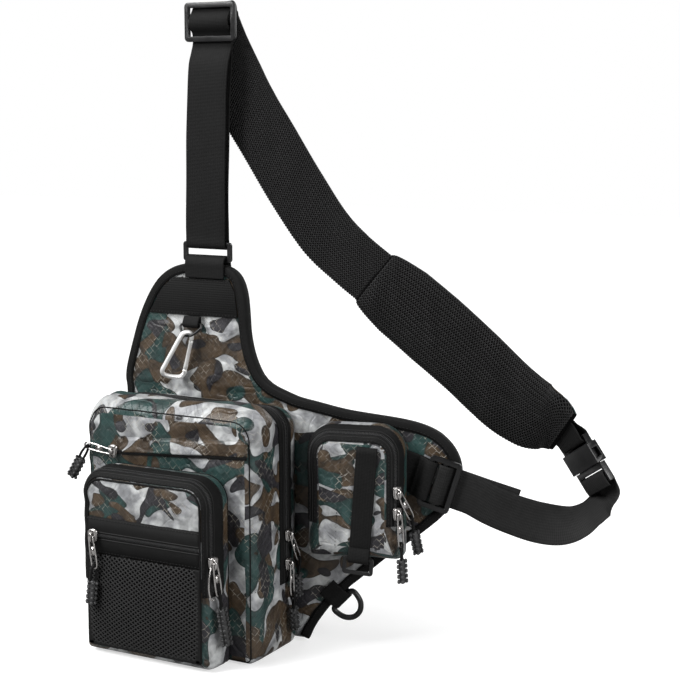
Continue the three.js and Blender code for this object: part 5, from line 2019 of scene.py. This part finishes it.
@dataclass
class ZipPulls:
    """Metal sliders with tabs, cord loops and ribbed grips."""

    looks: Looks
    eye: float = 27.0
    tab_level: float = -4.6
    grip_start: float = 15.0
    grip_flat: float = 0.75
    loop_wire: float = 0.8
    bridge_wire: float = 1.15
    tab_wire: float = 0.85
    cord: float = 1.2
    nub: float = 1.6
    nub_wide: float = 4.7
    nub_deep: float = 3.0
    nub_pitch: float = 4.7
    nub_margin: float = 2.4

    GRIP_TOP = ((0, 0), (0.1, 1.6), (0.8, 2.9), (2, 3.5))
    GRIP_TIP = ((2.4, 3.3), (0.9, 2.8), (0.1, 1.5), (0, 0))
    PULLS = (
        ("slip", BAG, (-60, -84.1, 188), 0, 98, 32, 24),
        ("net", BAG, (-57, -121.55, 115.5), 0, -8, 8, 24),
        ("front", BAG, (68.553, -113.221, 104), 68, -8, -10, 38),
        ("main_upper", BAG, (94.75, -24.35, 112), 90, -28, 0, 24),
        ("main_lower", BAG, (94.75, -24.35, 84), 90, -2, -8, 24),
        ("side_upper", WING, (98.613, -28.461, 160), 51, -30, -15, 24),
        ("side_lower", WING, (98.613, -28.461, 140), 51, -4, -4, 24),
    )
    CORD = (
        (17, -0.9, -1.7), (9, -2, -1.5), (3.4, -2.5, -0.5), (0.4, -1.7, 0), (-0.1, 0, 0), (0.4, 1.7, 0),
        (3.4, 2.5, 0.5), (9, 2, 1.5), (17, 0.9, 1.7),
    )
    LOOP = (
        (-3.6, -2.6, -3), (-6.2, -4, -11), (-7.4, -5, -20), (-6.6, -5.2, -28), (-4.4, -5, -32.5),
        (-1.8, -4.8, -32),
    )
    SLIDER = ((-4, 5.5), (4, 5.5), (4.6, 2), (2.8, -5.5), (-2.8, -5.5), (-4.6, 2))
    LAYERS = (
        (-0.1, 0.9), (-0.4, 1.0), (-1.1, 1.0), (-1.3, 0.88), (-1.8, 0.88), (-2.0, 1.0), (-2.8, 0.98),
        (-3.1, 0.86),
    )
    BRIDGE = ((-2.6, 3.6), (-4.6, 3.0), (-5.7, 0.6), (-5.7, -2.2), (-4.6, -4.2), (-2.6, -4.6))
    TAB = (
        (-1.7, -0.6), (1.7, -0.6), (2.4, 5), (2.9, 13), (2.9, 25.5), (2.1, 29.2), (0, 30.4), (-2.1, 29.2),
        (-2.9, 25.5), (-2.9, 13), (-2.4, 5),
    )
    PLATE = ((-2.7, -5), (2.7, -5), (2.7, -4.2), (-2.7, -4.2), (-2.7, -5))
    PLATE_DROPS = (10, 18)
    NUB_ANGLES = (0, 58, 122, 180, 238, 302)

    def build(self) -> None:
        """Builds and dresses every pull."""
        for name, parent, at, facing, lean, sway, grip in self.PULLS:
            holder = parent.child(at, turned(facing, "Z"))
            metal = self.metal(lean)
            if name == "front":
                add_tube(metal, spline(self.LOOP, 5), self.loop_wire)
            pull = metal.mesh(f"{name}_pull_metal", holder)
            keep(pull, [self.looks.steel], [f"{name}_pull"])
            tail = self.tail(math.radians(lean), math.radians(sway), grip).mesh(f"{name}_tail_grip", holder)
            keep(tail, [self.looks.rubber, self.looks.webbing], [f"{name}_tail"])

    def metal(self, lean: float) -> Skin:
        """Slider with its bridge, and a tab of bent wire with a plate across it.

        Args:
            lean: Lean of the tab in degrees.

        Returns:
            The pull's skin in its own frame.
        """
        outline = spline(self.SLIDER, 4, True)
        x, z = np.vstack([outline, outline[:1]]).T
        rings = [np.stack([x * size, np.full_like(x, y), z * size], -1) for y, size in self.LAYERS]
        skin = Skin().rod(rings)
        add_tube(skin, spline([(0, y, z) for y, z in self.BRIDGE], 4), self.bridge_wire)
        wire = np.array([(x, self.tab_level, -drop) for x, drop in self.TAB])
        plate = np.array([[(x, y, -drop) for x, y in self.PLATE] for drop in self.PLATE_DROPS])
        turn = np.array(turned(lean, "Y"))
        add_tube(skin, spline(wire @ turn.T, 4, True), self.tab_wire, closed=True)
        return skin.rod(plate @ turn.T)

    def tail(self, lean: float, sway: float, grip: float) -> Skin:
        """Cord loop and a grip with rows of nubs.

        Args:
            lean: Lean of the tab.
            sway: Lean of the tail.
            grip: Length of the grip.

        Returns:
            The tail's skin in the pull's frame.
        """
        eye = np.array((-math.sin(lean) * self.eye, self.tab_level, -math.cos(lean) * self.eye))
        down = np.array((-math.sin(sway), 0, -math.cos(sway)))
        side = np.array((math.cos(sway), 0, -math.sin(sway)))
        through = np.array((0, 1.0, 0))
        cord = [eye + down * along + side * wide + through * out for along, out, wide in self.CORD]
        skin = add_tube(Skin(), spline(cord, 5), self.cord, ink=1)
        start = eye + down * self.grip_start
        turn = np.linspace(0, 2 * math.pi, 17)
        rows = [*self.GRIP_TOP, *((grip - before, radius) for before, radius in self.GRIP_TIP)]
        rings = []
        for along, radius in rows:
            ring = start + down * along + (radius * np.cos(turn))[:, None] * side
            rings.append(ring + (self.grip_flat * radius * np.sin(turn))[:, None] * through)
        skin.grid(np.stack(rings))
        count = round(grip / self.nub_pitch)
        for row in np.linspace(self.nub_margin, grip - self.nub_margin, count):
            for degrees in self.NUB_ANGLES:
                angle = math.radians(degrees)
                wide, deep = self.nub_wide * math.cos(angle), self.nub_deep * math.sin(angle)
                add_ball(skin, start + down * row + side * wide + through * deep, self.nub)
        return skin


# Studio


@dataclass
class Studio:
    """Pale floor, soft lights and the camera."""

    eye: Spot = (0.8157, -1.2585, -0.0983)
    target: Spot = (0.157, -0.0402, -0.3028)
    view: float = math.radians(24.66)
    middle: Spot = (0.1, 0.0, -0.35)
    floor_level: float = -0.6048
    floor_reach: float = 6.0
    ambient: float = 0.13
    sun_from: Spot = (-0.55, -0.5, 1.0)
    sun_power: float = 3.6
    sun_spread: float = math.radians(38)

    LAMPS = (
        ("key", (-1.0, -1.5, 0.7), 0.6, 34), ("fill", (1.95, -0.6, 0.3), 1.0, 36),
        ("rear", (0.5, 2.0, 0.5), 1.4, 16),
    )

    def build(self) -> None:
        """Builds the floor, the lights and the camera."""
        self.floor()
        world = bpy.data.worlds.new("studio")
        bpy.context.scene.world = world
        world.use_nodes = True
        nodes, links = world.node_tree.nodes, world.node_tree.links
        rays = nodes.new("ShaderNodeLightPath")
        glow = nodes.new("ShaderNodeMapRange")
        glow.inputs["To Min"].default_value = self.ambient
        links.new(rays.outputs["Is Camera Ray"], glow.inputs["Value"])
        nodes["Background"].inputs["Color"].default_value = grey(1)
        links.new(glow.outputs["Result"], nodes["Background"].inputs["Strength"])
        self.sun()
        for row in self.LAMPS:
            self.lamp(*row)
        camera = bpy.data.cameras.new("photo_view")
        camera.sensor_width = 36
        camera.angle = self.view
        camera.clip_start = 0.01
        holder = put("photo_view", camera)
        holder.location = self.eye
        self.face(holder, Vector(self.target) - Vector(self.eye))
        bpy.context.scene.camera = holder
        bpy.context.scene.view_settings.view_transform = "Standard"

    def floor(self) -> None:
        """Builds the pale floor."""
        paint = Paint("pale_floor")
        shade = paint.noise(paint.spot(), 0.6, 2.0)
        seen = paint.node("ShaderNodeLightPath", output="Is Camera Ray")
        bright = paint.mix(shade, grey(0.48), grey(0.52))
        paint.set(
            Base_Color=paint.mix(seen, grey(0.34), bright),
            Roughness=shade * 0.1 + 0.7,
            Emission_Color=paint.mix(seen, grey(0), grey(1)),
            Emission_Strength=0.58,
            Specular_IOR_Level=0.1,
        )
        data = bpy.data.meshes.new("floor")
        reach = self.floor_reach
        corners = [(x * reach, y * reach, self.floor_level) for x, y in ((-1, -1), (1, -1), (1, 1), (-1, 1))]
        data.from_pydata(corners, [], [(0, 1, 2, 3)])
        data.materials.append(paint.material)
        put("floor", data)

    @staticmethod
    def face(holder: Piece, way: Vector) -> None:
        """Turns a light or a camera to look along a direction."""
        holder.rotation_euler = way.to_track_quat("-Z", "Y").to_euler()

    def sun(self) -> None:
        """Adds a very soft overhead light."""
        light = bpy.data.lights.new("sky", "SUN")
        light.energy = self.sun_power
        light.angle = self.sun_spread
        self.face(put("sky", light), -Vector(self.sun_from))

    def lamp(self, name: str, at: Floats, size: float, power: float) -> None:
        """Adds a soft area light that faces the bag's middle."""
        light = bpy.data.lights.new(name, "AREA")
        light.shape = "DISK"
        light.size = size
        light.energy = power
        holder = put(name, light)
        holder.location = at
        self.face(holder, Vector(self.middle) - Vector(at))


def main() -> None:
    """Builds the bag's pieces in order, then the studio, and notes the sizes."""
    logging.basicConfig(level=logging.INFO, format="%(name)s %(message)s")
    looks = Looks()
    sewing = Sewing()
    strands = strand_tree()
    beads = bead_tree()
    BackPanel(looks, sewing).build()
    Pockets(looks, sewing, strands).build()
    Webbing(looks).build()
    PaddedSling(looks, strands).build()
    Hardware(looks).build()
    SnapHook(looks).build()
    ZipPulls(looks).build()
    repeats = (
        (beads, "stitching", sewing.stitches, Slot.WEBBING, looks.thread, STITCH_SIZES),
        (beads, "zip_coils", sewing.coils, Slot.ZIP_TAPE, looks.coil, COIL_SIZES),
        (strands, "zip_ridges", sewing.ridges, Slot.ZIP_TAPE, looks.strand, RIDGE_SIZES),
    )
    for tree, name, lines, slot, finish, measures in repeats:
        keep(tree.run(name, lines, finish, **measures), [finish])
    Studio().build()


if __name__ == "__main__":
    main()
